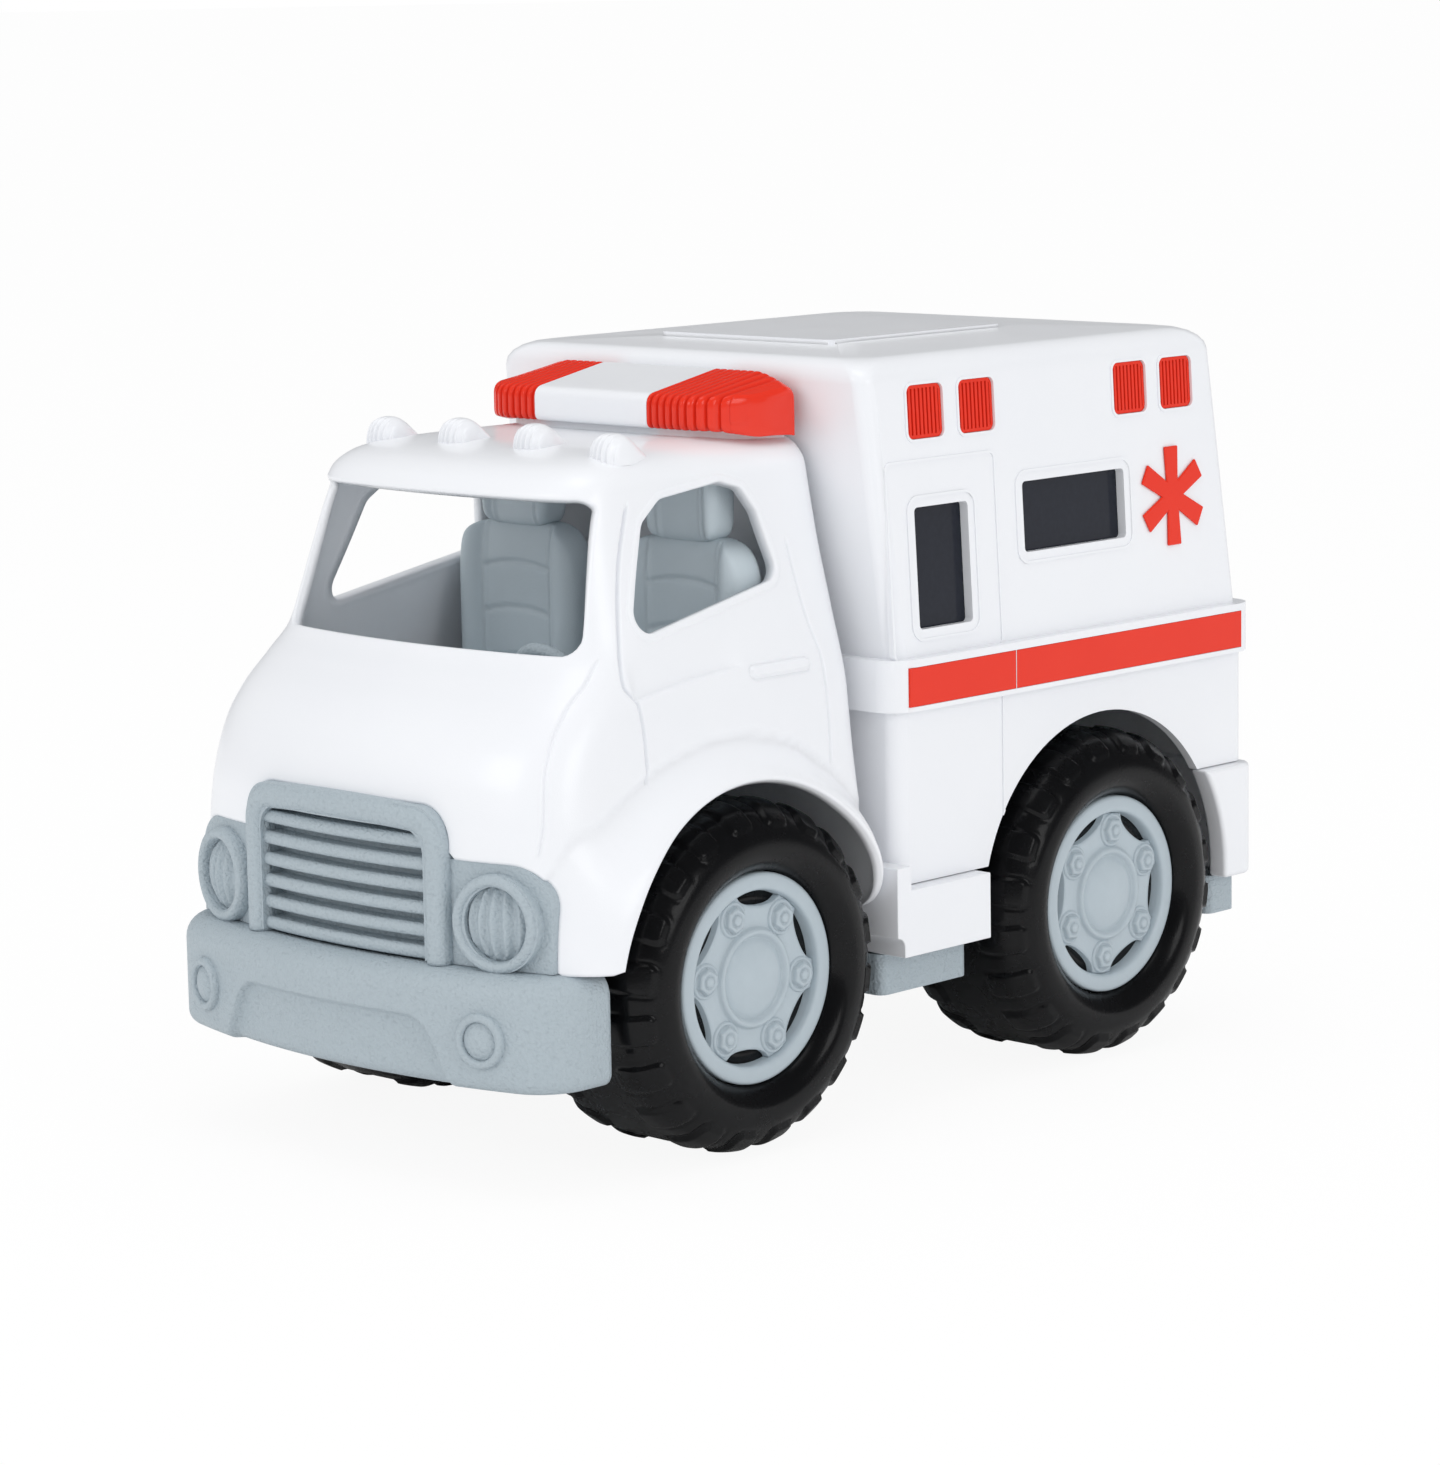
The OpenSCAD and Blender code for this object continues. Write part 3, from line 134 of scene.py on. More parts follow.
def whiteRecipe(place, finish):  # satin moulding: faint cloudiness, very fine grain, a few rubbed spots
    cloud, rub, grain = (noise(place, *finish[key]) for key in ("tint", "sheen", "grain"))
    base, rubbed, grained = finish["rough"]
    return {"Base Color": blendColours(cloud, *finish["colours"]),
            "Roughness": base + rub * rubbed + grain * grained, "Normal": bump(grain, *finish["relief"])}


def pebbleRecipe(place, finish):  # leathery grain of the bumper and sills, paler on its crests as a painted highlight
    cells = place.node("ShaderNodeTexVoronoi", {
        "Vector": place, "Scale": finish["pebbles"], "Randomness": 1.0}, feature="SMOOTH_F1")
    tint, sheen, grain = (noise(place, *finish[key]) for key in ("tint", "sheen", "grain"))
    height = 1 - cells ** 2 + grain * finish["fine"]
    crest, cloud = finish["blend"]
    base, more = finish["rough"]
    # the crest share is a painted highlight on the grain's raised points; the cloud share is random tone
    return {"Base Color": blendColours(height * crest + tint * cloud, *finish["colours"]),
            "Roughness": base + sheen * more, "Normal": bump(height, *finish["relief"])}


# noises are given as scale per metre, detail and roughness; rough is a base and shares of the noises;
# relief is metres and strength of the bump
finishes = dict(
    white=dict(tint=(22,), sheen=(90, 5, 0.65), grain=(2600, 3), rough=(0.25, 0.12, 0.05), relief=(0.00003,),
               colours=((0.845, 0.862, 0.90), (0.875, 0.89, 0.92)),
               fixed={"Coat Weight": 0.15, "Coat Roughness": 0.12}),
    # pebble: the first share of blend paints a highlight on the crests
    pebble=dict(pebbles=1300.0, tint=(30,), sheen=(120, 4), grain=(2400, 3), fine=0.35, blend=(0.5, 0.2),
                rough=(0.40, 0.15), relief=(0.00042,), colours=((0.36, 0.425, 0.47), (0.45, 0.52, 0.565)),
                fixed={"Specular IOR Level": 0.45}),
    seat=dict(tint=(40,), sheen=(1500, 3), grain=(1500, 3), rough=(0.38, 0.14), relief=(0.00006,),
              colours=((0.50, 0.575, 0.62), (0.57, 0.645, 0.69)), fixed={"Specular IOR Level": 0.45}),
    hub=dict(tint=(150, 5, 0.7), sheen=(150, 5, 0.7), grain=(1900, 3), rough=(0.30, 0.16), relief=(0.00005,),
             colours=((0.42, 0.495, 0.545), (0.48, 0.555, 0.605)),
             fixed={"Coat Weight": 0.2, "Coat Roughness": 0.15}),
    red=dict(tint=(35, 3), sheen=(700, 3), grain=(700, 3), rough=(0.14, 0.10), relief=(0.00002,),
             colours=((0.77, 0.030, 0.012), (0.82, 0.040, 0.018)), fixed={"Specular IOR Level": 0.25}),
    pane=dict(tint=(500, 4, 0.7), sheen=(500, 4, 0.7), grain=(30, 2), rough=(0.06, 0.10), relief=(0.0002, 0.25),
              colours=((0.010, 0.012, 0.020), (0.018, 0.021, 0.031)), fixed={"Specular IOR Level": 0.25}),
    tyre=dict(tint=(60, 5, 0.65), sheen=(60, 5, 0.65), grain=(1700, 3), rough=(0.20, 0.14), relief=(0.00005,),
              colours=((0.003, 0.0031, 0.0037), (0.006, 0.0063, 0.0072)),
              fixed={"Specular IOR Level": 0.14, "Coat Weight": 0.12, "Coat Roughness": 0.12}),
    steel=dict(tint=(260, 4), sheen=(260, 4), grain=(1800, 3), rough=(0.25, 0.18), relief=(0.00003,),
               colours=((0.50, 0.51, 0.53), (0.62, 0.63, 0.65)), fixed={"Metallic": 1.0}))
finishes["lens"] = dict(finishes["red"], fixed={
    "Specular IOR Level": 0.3, "Coat Weight": 0.15, "Coat Roughness": 0.04})
paints = {
    "white_plastic": paint("whitePlastic", whiteRecipe, finishes["white"]),
    "grey_plastic": paint("greyPebble", pebbleRecipe, finishes["pebble"]),
    "seat_grey": paint("seatGrey", mouldedRecipe, finishes["seat"]),
    "hub_grey": paint("hubGrey", mouldedRecipe, finishes["hub"]),
    "red_plastic": paint("redPlastic", mouldedRecipe, finishes["red"]),
    "red_lens": paint("redLens", mouldedRecipe, finishes["lens"]),
    "tinted_pane": paint("tintedPane", mouldedRecipe, finishes["pane"]),
    "tyre_black": paint("tyreBlack", mouldedRecipe, finishes["tyre"]),
    "steel": paint("steel", mouldedRecipe, finishes["steel"]),
}
print("painted", len(paints), "materials")

slotOf = {part["node"]: part["material_slot"] for part in frame["record"]["subparts"]}
for node, cad in frame["nodes"].items():
    cad.data.materials.clear()
    cad.data.materials.append(paints[slotOf[node]])


def bodyOf(node):  # the moving body that a CAD node belongs to
    return frame["nodes"][node]["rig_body"]


def settle(piece, node):  # the new piece stands in for a CAD node, on its body and in its slot
    if not piece.data.materials:
        piece.data.materials.append(paints[slotOf[node]])
    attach(piece, bodyOf(node))
    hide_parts(node)
    return piece


softening = dict(bevelFrom=34, sharpFrom=25, flatFrom=0.6, segments=3, weld=2e-6)  # degrees; weld in metres


def soften(piece, width, segments):  # bevel of a width in metres
    if width:
        edge = piece.modifiers.new("edge", "BEVEL")
        edge.width, edge.segments, edge.limit_method = width, segments, "ANGLE"
        edge.angle_limit, edge.use_clamp_overlap = math.radians(softening["bevelFrom"]), True
        piece.data.shade_smooth()
    level = piece.modifiers.new("level", "WEIGHTED_NORMAL")  # large faces stay flat
    level.weight, level.keep_sharp = 100, True
    return piece


def softCopy(node, width):  # welded copy of a CAD node with rounded edges, or with sharp ones where width is 0
    mesh = frame["nodes"][node].data.copy()
    work = bmesh.new()
    work.from_mesh(mesh)
    bmesh.ops.remove_doubles(work, verts=work.verts, dist=softening["weld"])
    bmesh.ops.dissolve_limit(work, angle_limit=math.radians(softening["flatFrom"]),
                             verts=work.verts, edges=work.edges)
    work.to_mesh(mesh)
    work.free()
    if not width:
        mesh.shade_smooth()
        mesh.set_sharp_from_angle(angle=math.radians(softening["sharpFrom"]))
    piece = bpy.data.objects.new(node + "_soft", mesh)
    scene.collection.objects.link(piece)
    return settle(soften(piece, width, softening["segments"]), node)


edgeWidths = {  # millimetres of rounding on the moulded edges
    "chassis": 0.8, "front_axle_keeper": 0.6, "rear_axle_keeper": 0.6, "rear_bumper": 1.6,
    "patient_floor": 0.6, "grille_panel": 0.5, "box_shell": 0,
    "left_side_step": 1.6, "right_side_step": 1.6, "left_rear_door": 0.8, "right_rear_door": 0.8,
    "steering_wheel": 0.5, "left_star": 0.4, "right_star": 0.4,
    "left_stripe": 0.06, "right_stripe": 0.06,
    "left_marker_lenses": 0.4, "right_marker_lenses": 0.4,
}
for node, width in edgeWidths.items():
    softCopy(node, width * mm)
print("softened", len(edgeWidths), "pieces")


def addPiece(name, points, faces, node, smooth=True, sharp=180):  # points in millimetres
    mesh = bpy.data.meshes.new(name)
    mesh.from_pydata((np.asarray(points, float).reshape(-1, 3) * mm).tolist(), [],
                     [face for group in faces for face in group.tolist()])
    work = bmesh.new()
    work.from_mesh(mesh)
    bmesh.ops.remove_doubles(work, verts=work.verts, dist=1e-6)  # points at the poles
    work.to_mesh(mesh)
    work.free()
    mesh.validate()
    if smooth:
        mesh.shade_smooth()
        mesh.set_sharp_from_angle(angle=math.radians(sharp))
    piece = bpy.data.objects.new(name, mesh)
    scene.collection.objects.link(piece)
    return settle(piece, node)


def smoothCurve(knots, values, at):  # cubic through the knots; slopes are harmonic means, so no overshoot
    knots, values = np.asarray(knots, float), np.asarray(values, float)
    run = np.diff(knots)
    rise = np.diff(values) / run
    both = rise[1:] * rise[:-1]
    inner = np.where(both > 0, 2 * both / np.where(both > 0, rise[1:] + rise[:-1], 1), 0)
    tilt = np.concatenate([rise[:1], inner, rise[-1:]])
    k = np.clip(np.searchsorted(knots, at, side="right") - 1, 0, len(run) - 1)
    t = (at - knots[k]) / run[k]
    return ((1 + 2 * t) * (1 - t) ** 2 * values[k] + t * (1 - t) ** 2 * run[k] * tilt[k]
            + t * t * (3 - 2 * t) * values[k + 1] + t * t * (t - 1) * run[k] * tilt[k + 1])


def step01(x):  # 0 to 1 with level ends
    x = np.clip(x, 0, 1)
    return x * x * (3 - 2 * x)


def lengthAlong(points):  # distance run along a line of points
    return np.concatenate([[0], np.cumsum(np.linalg.norm(np.diff(points, axis=0), axis=1))])


def polygonGap(a, b, corners):  # signed distance to a polygon, negative inside
    corners = np.asarray(corners, float)
    gap, inside = np.full(np.shape(a), 1e9), np.zeros(np.shape(a), bool)
    for (a0, b0), (a1, b1) in zip(corners, np.roll(corners, -1, axis=0)):
        along = np.clip(((a - a0) * (a1 - a0) + (b - b0) * (b1 - b0))
                        / ((a1 - a0) ** 2 + (b1 - b0) ** 2), 0, 1)
        gap = np.minimum(gap, np.hypot(a - a0 - along * (a1 - a0), b - b0 - along * (b1 - b0)))
        crosses = ((b0 > b) != (b1 > b)) & (a < a0 + (b - b0) * (a1 - a0) / np.where(b1 == b0, 1, b1 - b0))
        inside ^= crosses
    return np.where(inside, -gap, gap)


def rectGap(a, b, halfA, halfB, radius):  # signed distance to a rounded rectangle
    da, db = np.abs(a) - halfA + radius, np.abs(b) - halfB + radius
    return np.hypot(np.maximum(da, 0), np.maximum(db, 0)) + np.minimum(np.maximum(da, db), 0) - radius


wheelLine = dict(high=50.0, front=-68.5, rear=86.5, frontTurned=-0.11, rearTurned=0.41)  # hubs' turn in radians
cab = dict(
    bottom=61.6, height=134.4, back=-12.94, length=136.0, width=158.0, bow=245.0, wall=2.6,
    frontSquare=8.0, backSquare=14.0, pull=7.0, axle=(wheelLine["front"], wheelLine["high"]), arch=55.5, flare=7.5,
    z=[0, .09, .18, .27, .35, .42, .485, .55, .605, .665, .77, .90, .94, .97, .989, 1],  # shares of height,
    w=[.99, .99, .98, .955, .935, .92, .905, .875, .845, .815, .765, .715, .70, .66, .595, .48],  # width
    nose=[.997, 1, 1, .998, .985, .96, .915, .852, .803, .785, .765, .738, .72, .684, .625, .53],  # and length
    sill=143.6, screenHeight=41.0, screenWidths=(117.6, 108.8), screenRound=4.0, screenRim=1.0,
    window=[(-82.8, 173.6), (-76.5, 178.0), (-54.5, 180.4), (-49.0, 178.8), (-46.0, 174.2), (-43.0, 161.6),
            (-91.2, 152.7)], windowRound=4.8, windowRim=2.6,
    wings=(70.0, 72.3, 20.6, 12.3), grilleSeat=(79.0, 40.8, 25.6, 10.3),  # height, half sizes, rounding
    archRim=1.0, seatRim=0.6,  # every rim is what its lip takes back of the opening
    screenFrom=0.6, seatFrom=0.8,  # where an opening starts, as a share of the length
    screenSide=70, windowSide=40, archSide=30,  # distance from the middle that bounds an opening
    fenderY=[-130, -118.8, -101.9, -86, -45, -35], fenderEdge=[22, 16.4, 13.2, 11.8, 11.6, 10.4],
    fenderDip=1.3, dipRun=2.0)
relief = dict(
    seamHalf=0.45, seamFade=2, seamStep=0.5, sideFrom=50, sideFade=8,
    creaseY=[-104, -91, -81, -72, -58], creaseZ=[130.6, 132.6, 133.8, 134.7, 135.4], creaseDeep=1.5,
    creaseRise=1.0, creaseHigh=13, creaseRun=(-103.5, -58), creaseFade=(2, 9),
    handle=(-45.0, 133.3, 11.8, 1.4), handleRound=1.6, handleHigh=0.8, handleEdge=0.8,
    moatDeep=0.4, moatAt=0.5, moatHalf=0.4)
seams = dict(  # how far back each seam lies, by height
    hood=dict(deep=0.6, z=[92, 100, 113, 122, 130, 137, 143.5],
              y=[-138.2, -136.6, -134.1, -130.2, -123.7, -115.4, -109]),
    front=dict(deep=1.3, z=[108, 121, 129.6, 135.4, 142.5, 149, 156.6, 167.5, 178, 183],
               y=[-101.9, -101.5, -102, -105.6, -104, -102.4, -100.5, -97.2, -92.8, -90.6]),
    rear=dict(deep=0.8, z=[104, 117, 126, 133.9, 141, 147, 156, 168],
              y=[-29.4, -28.2, -28, -27.6, -28.9, -30, -30.7, -31.4]))
screenCorners = [(s * (cab["screenWidths"][k] / 2 - cab["screenRound"]),
                  cab["sill"] + (cab["screenHeight"] - cab["screenRound"] if k else cab["screenRound"]))
                 for s, k in ((-1, 0), (1, 0), (1, 1), (-1, 1))]


def noseSag(x):  # how far the bow falls back, at a distance from the middle
    return cab["bow"] - np.sqrt(np.maximum(cab["bow"] ** 2 - x * x, 0))


def archGap(y, z):  # signed distance to the wheel arch's circle
    return np.hypot(y - cab["axle"][0], z - cab["axle"][1]) - cab["arch"]


def cabSurface(angle, z):
    # ring at height z: a squared oval of power p, radius (|cos|^p + |sin|^p)^(-1/p), its front half
    # bowed; half width and front follow the share curves; round the arch the wall swells out to the
    # fender's edge, with a dip outside it; past the top the ring shrinks to a point
    shrink = np.clip(z - cab["bottom"] - cab["height"], 0, 1)
    high = np.minimum(z, cab["bottom"] + cab["height"])
    share = (high - cab["bottom"]) / cab["height"]
    half = cab["width"] / 2 * smoothCurve(cab["z"], cab["w"], share)
    front = cab["back"] - cab["length"] * smoothCurve(cab["z"], cab["nose"], share)
    turn = np.radians(angle) + np.radians(cab["pull"]) * np.sin(4 * np.radians(angle))
    c, s = np.cos(turn), np.sin(turn)
    power = np.where(s < 0, cab["frontSquare"], cab["backSquare"])
    reach = (np.abs(c) ** power + np.abs(s) ** power) ** (-1 / power)
    x = half * reach * c
    mid = (front + cab["back"]) / 2
    y = mid + (cab["back"] - front) / 2 * reach * s + np.where(s < 0, noseSag(x) * -s, 0)
    gap = archGap(y, high)
    edge = smoothCurve(cab["fenderY"], cab["fenderEdge"], np.clip(y, cab["fenderY"][0], cab["fenderY"][-1]))
    swell = ((cab["flare"] + cab["fenderDip"]) * step01(1 - gap / edge)
             - cab["fenderDip"] * step01(0.5 + (edge - gap) / cab["dipRun"]))
    return np.stack([(x + np.sign(x) * swell) * (1 - shrink), mid + (y - mid) * (1 - shrink),
                     high + 0 * x], -1)


def cabGaps(p):  # signed distance to every opening: screen, side windows, arches, grille seat
    x, y, z = p[..., 0], p[..., 1], p[..., 2]
    aside, far = np.abs(x), 1e3
    screenLine, seatLine = (cab["back"] - cab["length"] * cab[key] for key in ("screenFrom", "seatFrom"))
    screen = np.where((y < screenLine) & (aside < cab["screenSide"]),
                      polygonGap(x, z, screenCorners) - cab["screenRound"] - cab["screenRim"], far)
    window = np.where(aside > cab["windowSide"],
                      polygonGap(y, z, cab["window"]) - cab["windowRound"] - cab["windowRim"], far)
    arch = np.where(aside > cab["archSide"], archGap(y, z) - cab["archRim"], far)
    wings, middle = (rectGap(x, z - high, *size) for high, *size in (cab["wings"], cab["grilleSeat"]))
    panel = np.where(y < seatLine, np.minimum(wings, middle) - cab["seatRim"], far)
    return np.stack([screen, window, arch, panel])


def seamLine(seam):  # angles and points of a seam on the surface, at even heights
    step = relief["seamStep"]
    heights = np.arange(seam["z"][0], seam["z"][-1] + 0.1, step)
    fine = np.linspace(-89, 40, 6401)
    table = cabSurface(fine[None, :], heights[:, None])[..., 1]
    angle = fine[np.argmin(np.abs(table - smoothCurve(seam["z"], seam["y"], heights)[:, None]), axis=1)]
    line = cabSurface(angle, heights)
    return dict(deep=seam["deep"], z=heights, angle=angle, line=line, way=np.gradient(line, step, axis=0))


seamLines = {name: seamLine(seam) for name, seam in seams.items()}


def seamGroove(p, seam):
    # bell-shaped groove: square distance from the line at the same height, less its part along the line
    z = p[..., 2]
    at, way = (np.stack([np.interp(z, seam["z"], seam[key][:, k]) for k in range(3)], -1)
               for key in ("line", "way"))
    off = p - at
    off[..., 2] = 0
    along = (off * way).sum(-1)
    square = (off * off).sum(-1) - along * along / (way * way).sum(-1)
    ends = step01((z - seam["z"][0]) / relief["seamFade"]) * step01((seam["z"][-1] - z) / relief["seamFade"])
    return -seam["deep"] * ends * np.exp(-square / relief["seamHalf"] ** 2)


def cabRelief(p):  # outward relief: hood and door seams, hollow over the waist crease, handle in a shallow moat
    p = np.concatenate([np.abs(p[..., :1]), p[..., 1:]], -1)
    y, z = p[..., 1], p[..., 2]
    onSide = step01((p[..., 0] - relief["sideFrom"]) / relief["sideFade"])
    seam = sum(seamGroove(p, line) for line in seamLines.values())
    creaseY = relief["creaseY"]
    over = z - smoothCurve(creaseY, relief["creaseZ"], np.clip(y, creaseY[0], creaseY[-1]))
    (start, stop), (fadeIn, fadeOut) = relief["creaseRun"], relief["creaseFade"]
    hollow = (-relief["creaseDeep"] * step01(0.5 + over / relief["creaseRise"])
              * (1 - step01(over / relief["creaseHigh"]))
              * step01((y - start) / fadeIn) * step01((stop - y) / fadeOut))
    cy, cz, halfLong, halfHigh = relief["handle"]
    rim = rectGap(y - cy, z - cz, halfLong, halfHigh, relief["handleRound"])
    handle = (relief["handleHigh"] * step01(0.5 - rim / relief["handleEdge"])
              - relief["moatDeep"] * np.exp(-((rim - relief["moatAt"]) / relief["moatHalf"]) ** 2))
    return seam + onSide * (hollow + handle)


cabMesh = dict(  # millimetres between rows and columns, closer at the crease, roof, seams and handle
    pitch=1.7, crease=(129, 137.5, 0.4), roof=186, roofPitch=0.8, crown=9, leastRise=0.09, leastTurn=0.06,
    level=124, handlePitch=0.6, handleMargin=2, handleFrom=-60, delta=0.02, halvings=18, onRim=0.05,
    stops=[-2.4, -1.6, -1.1, -.8, -.55, -.35, -.15, .0, .15, .35, .55, .8, 1.1, 1.6, 2.4])
lips = dict(  # profiles: distance into the opening, height over the skin
    raised=[(.2, .05), (.4, .25), (.6, .4), (.8, .45), (1.7, .45), (2.1, .38), (2.4, .18), (2.55, -.15),
            (2.6, -.6), (2.6, -3.2)],
    plain=[(.2, -.02), (.4, -.09), (.55, -.18), (.7, -.3), (.82, -.43), (.91, -.58), (.97, -.75), (1.0, -.9),
           (1.0, -1.6), (1.0, -3.2)])
lipOrder = ("plain", "raised", "plain", "plain", "plain")  # screen, side window, arch, grille seat, foot


def cabGrid():  # columns bend so that three of them run down the seams, with close ones on both sides
    top = cab["bottom"] + cab["height"]
    rows = np.unique(np.round(np.concatenate([
        np.arange(cab["bottom"], cabMesh["roof"], cabMesh["pitch"]), np.arange(*cabMesh["crease"]),
        np.arange(cabMesh["roof"], top, cabMesh["roofPitch"]), top + np.linspace(0, 1, cabMesh["crown"])]), 3))
    rows = rows[np.concatenate([[True], np.diff(rows) > cabMesh["leastRise"]])]
    heights = np.minimum(rows, top)
    hood, front, rear = (np.interp(heights, line["z"], line["angle"]) for line in seamLines.values())
    last = seamLines["hood"]["z"][-1]
    beside = np.interp(last, heights, front) - np.interp(last, heights, hood)
    hood = np.where(heights > last, front - beside, hood)
    anchors = np.stack([0 * rows - 90, hood, front, rear, 0 * rows + 90], 1)
    reference = int(np.argmin(np.abs(rows - cabMesh["level"])))
    fine = np.linspace(-90, 90, 7201)
    ring = cabSurface(fine, heights[reference])
    run = lengthAlong(ring)
    even = np.interp(np.linspace(0, run[-1], int(run[-1] / cabMesh["pitch"])), run, fine)
    stops = np.array(cabMesh["stops"])
    close = [np.interp(np.interp(at, fine, run) + stops, run, fine) for at in anchors[reference, 1:4]]
    cy, _, halfLong, _ = relief["handle"]
    reach = halfLong + cabMesh["handleMargin"]
    side = fine > cabMesh["handleFrom"]
    pull = np.interp(np.arange(cy - reach, cy + reach, cabMesh["handlePitch"]), ring[side, 1], fine[side])
    half = np.unique(np.concatenate([even, pull] + close))
    half = half[np.concatenate([[True], np.diff(half) > cabMesh["leastTurn"]])]
    warped = np.stack([np.interp(half, anchors[reference], anchor) for anchor in anchors])
    angle = np.concatenate([warped, 180 - warped[:, -2:0:-1]], 1)  # the far half mirrors the near one
    return angle, np.repeat(rows[:, None], angle.shape[1], 1)


def triangleEdges(triangles):  # three directed edges of each
    return np.concatenate([triangles[:, [0, 1]], triangles[:, [1, 2]], triangles[:, [2, 0]]])


def meetOpenings(angle, high, triangles):  # the nearer end of each edge that crosses a rim moves onto the rim
    gap = cabGaps(cabSurface(angle, high)).min(0)
    edges = np.unique(np.sort(triangleEdges(triangles), 1), axis=0)
    edges = edges[gap[edges[:, 0]] * gap[edges[:, 1]] < 0]
    cut = gap[edges[:, 0]] / (gap[edges[:, 0]] - gap[edges[:, 1]])
    near = np.where(cut < 0.5, edges[:, 0], edges[:, 1])
    away = np.where(cut < 0.5, edges[:, 1], edges[:, 0])
    order = np.argsort(np.minimum(cut, 1 - cut))
    near, first = np.unique(near[order], return_index=True)
    away = away[order][first]
    aStart, zStart = angle[near], high[near]
    aRun = (angle[away] - aStart + 180) % 360 - 180
    zRun = high[away] - zStart
    low, tall = np.zeros(len(near)), np.ones(len(near))
    startSign = np.sign(gap[near])
    for _ in range(cabMesh["halvings"]):  # halve the edge until the crossing is met
        middle = (low + tall) / 2
        found = cabGaps(cabSurface(aStart + aRun * middle, zStart + zRun * middle)).min(0)
        same = np.sign(found) == startSign
        low, tall = np.where(same, middle, low), np.where(same, tall, middle)
    angle[near], high[near] = aStart + aRun * low, zStart + zRun * low
    gap[near] = 0
    return gap


def skinNormals(angle, high):  # the ways round and up the surface, crossed; straight up on the crown
    delta = cabMesh["delta"]
    along = cabSurface(angle + delta, high) - cabSurface(angle - delta, high)
    upward = cabSurface(angle, high + delta) - cabSurface(angle, high - delta)
    upward[high > cab["bottom"] + cab["height"] - delta] = 0
    normal = np.cross(along, upward)
    size = np.linalg.norm(normal, axis=1, keepdims=True)
    return along, np.where(size > 1e-9, normal / np.maximum(size, 1e-9), np.array([0, 0, 1.0]))


def keptFaces(triangles, smooth, gap, crown):  # faces outside the openings; the crown's ring becomes one point
    centre = gap[triangles].mean(1)
    flat = np.all(gap[triangles] == 0, axis=1)
    centre[flat] = cabGaps(smooth[triangles[flat]].mean(1)).min(0)
    first, second, third = (smooth[triangles[:, k]] for k in range(3))
    area = np.linalg.norm(np.cross(second - first, third - first), axis=1)
    merge = np.arange(len(smooth))
    merge[crown] = crown[0]
    kept = merge[triangles[(centre > 0) & (area > 1e-7)]]
    return kept[(kept[:, 0] != kept[:, 1]) & (kept[:, 1] != kept[:, 2]) & (kept[:, 2] != kept[:, 0])]


def lipRings(points, smooth, normal, along, rimEdges):
    # each rim point runs into its opening by the lip's profile, down the opening's distance, or at the foot
    # square to the rim
    rim = np.unique(rimEdges)
    ahead, behind = np.arange(len(points)), np.arange(len(points))
    ahead[rimEdges[:, 0]] = rimEdges[:, 1]
    behind[rimEdges[:, 1]] = rimEdges[:, 0]
    gaps = np.abs(cabGaps(smooth[rim]))
    which, pick, delta = np.argmin(gaps, axis=0), np.arange(len(rim)), cabMesh["delta"]
    onEdge = gaps.min(0) < cabMesh["onRim"]
    first = along[rim] / np.linalg.norm(along[rim], axis=1, keepdims=True)
    fall = 0
    for way in (first, np.cross(normal[rim], first)):
        drop = cabGaps(smooth[rim] - way * delta) - cabGaps(smooth[rim] + way * delta)
        fall = fall + way * drop[which, pick][:, None]
    inward = np.cross(points[ahead[rim]] - points[behind[rim]], normal[rim])
    inward = np.where(onEdge[:, None], fall, inward)
    inward /= np.maximum(np.linalg.norm(inward, axis=1, keepdims=True), 1e-9)
    profile = np.array([lips[key] for key in lipOrder])[np.where(onEdge, which, len(lipOrder) - 1)]
    return rim, points[rim][:, None] + inward[:, None] * profile[..., :1] + normal[rim][:, None] * profile[..., 1:]


def cabShell():  # outer skin with relief, lips round the openings, inner skin one wall further in
    angle, high = cabGrid()
    index = np.arange(angle.size).reshape(angle.shape)
    nextColumn = np.roll(index, -1, 1)
    a, b, c, d = index[:-1], nextColumn[:-1], nextColumn[1:], index[1:]
    triangles = np.concatenate([np.stack(three, -1).reshape(-1, 3) for three in ((a, b, c), (a, c, d))])
    angle, high = angle.ravel().copy(), high.ravel().copy()
    gap = meetOpenings(angle, high, triangles)
    smooth = cabSurface(angle, high)
    along, normal = skinNormals(angle, high)
    points = smooth + normal * cabRelief(smooth)[:, None]
    kept = keptFaces(triangles, smooth, gap, index[-1])
    count, edges = len(points), triangleEdges(kept)
    rimEdges = edges[~np.isin(edges[:, 0] * count + edges[:, 1], edges[:, 1] * count + edges[:, 0])]
    rim, rings = lipRings(points, smooth, normal, along, rimEdges)
    inside = count + rings.shape[0] * rings.shape[1]
    ringIds = np.full((count, rings.shape[1] + 2), -1)
    ringIds[rim, 0] = rim
    ringIds[rim, 1:-1] = np.arange(count, inside).reshape(rings.shape[:2])
    ringIds[rim, -1] = inside + rim
    i, j = ringIds[rimEdges[:, 0]], ringIds[rimEdges[:, 1]]
    strips = np.stack([j[:, :-1], i[:, :-1], i[:, 1:], j[:, 1:]], -1).reshape(-1, 4)
    allPoints = np.concatenate([points, rings.reshape(-1, 3), smooth - normal * cab["wall"]])
    used = np.unique(np.concatenate([kept.ravel(), strips.ravel(), inside + kept.ravel()]))
    rename = np.zeros(len(allPoints), int)
    rename[used] = np.arange(len(used))
    faces = [rename[kept], rename[strips], rename[inside + kept[:, ::-1]]]
    return addPiece("cab_skin", allPoints[used], faces, "cab_shell")


cabPiece = cabShell()
print("cab skin", len(cabPiece.data.polygons), "faces")

roofLamp = dict(xs=(-45.7, -15.4, 15.4, 45.7), y=-85.0, z=193.6, drop=0.0006, nose=6.2, tail=15.0, half=5.9,
                high=8.6, power=2.6, tailHalf=0.45, pitch=1.75, ribDeep=0.42, ribFrom=0.1, ribFade=0.3,
                ribFoot=0.25, noseRows=40, tailRows=42, around=97)


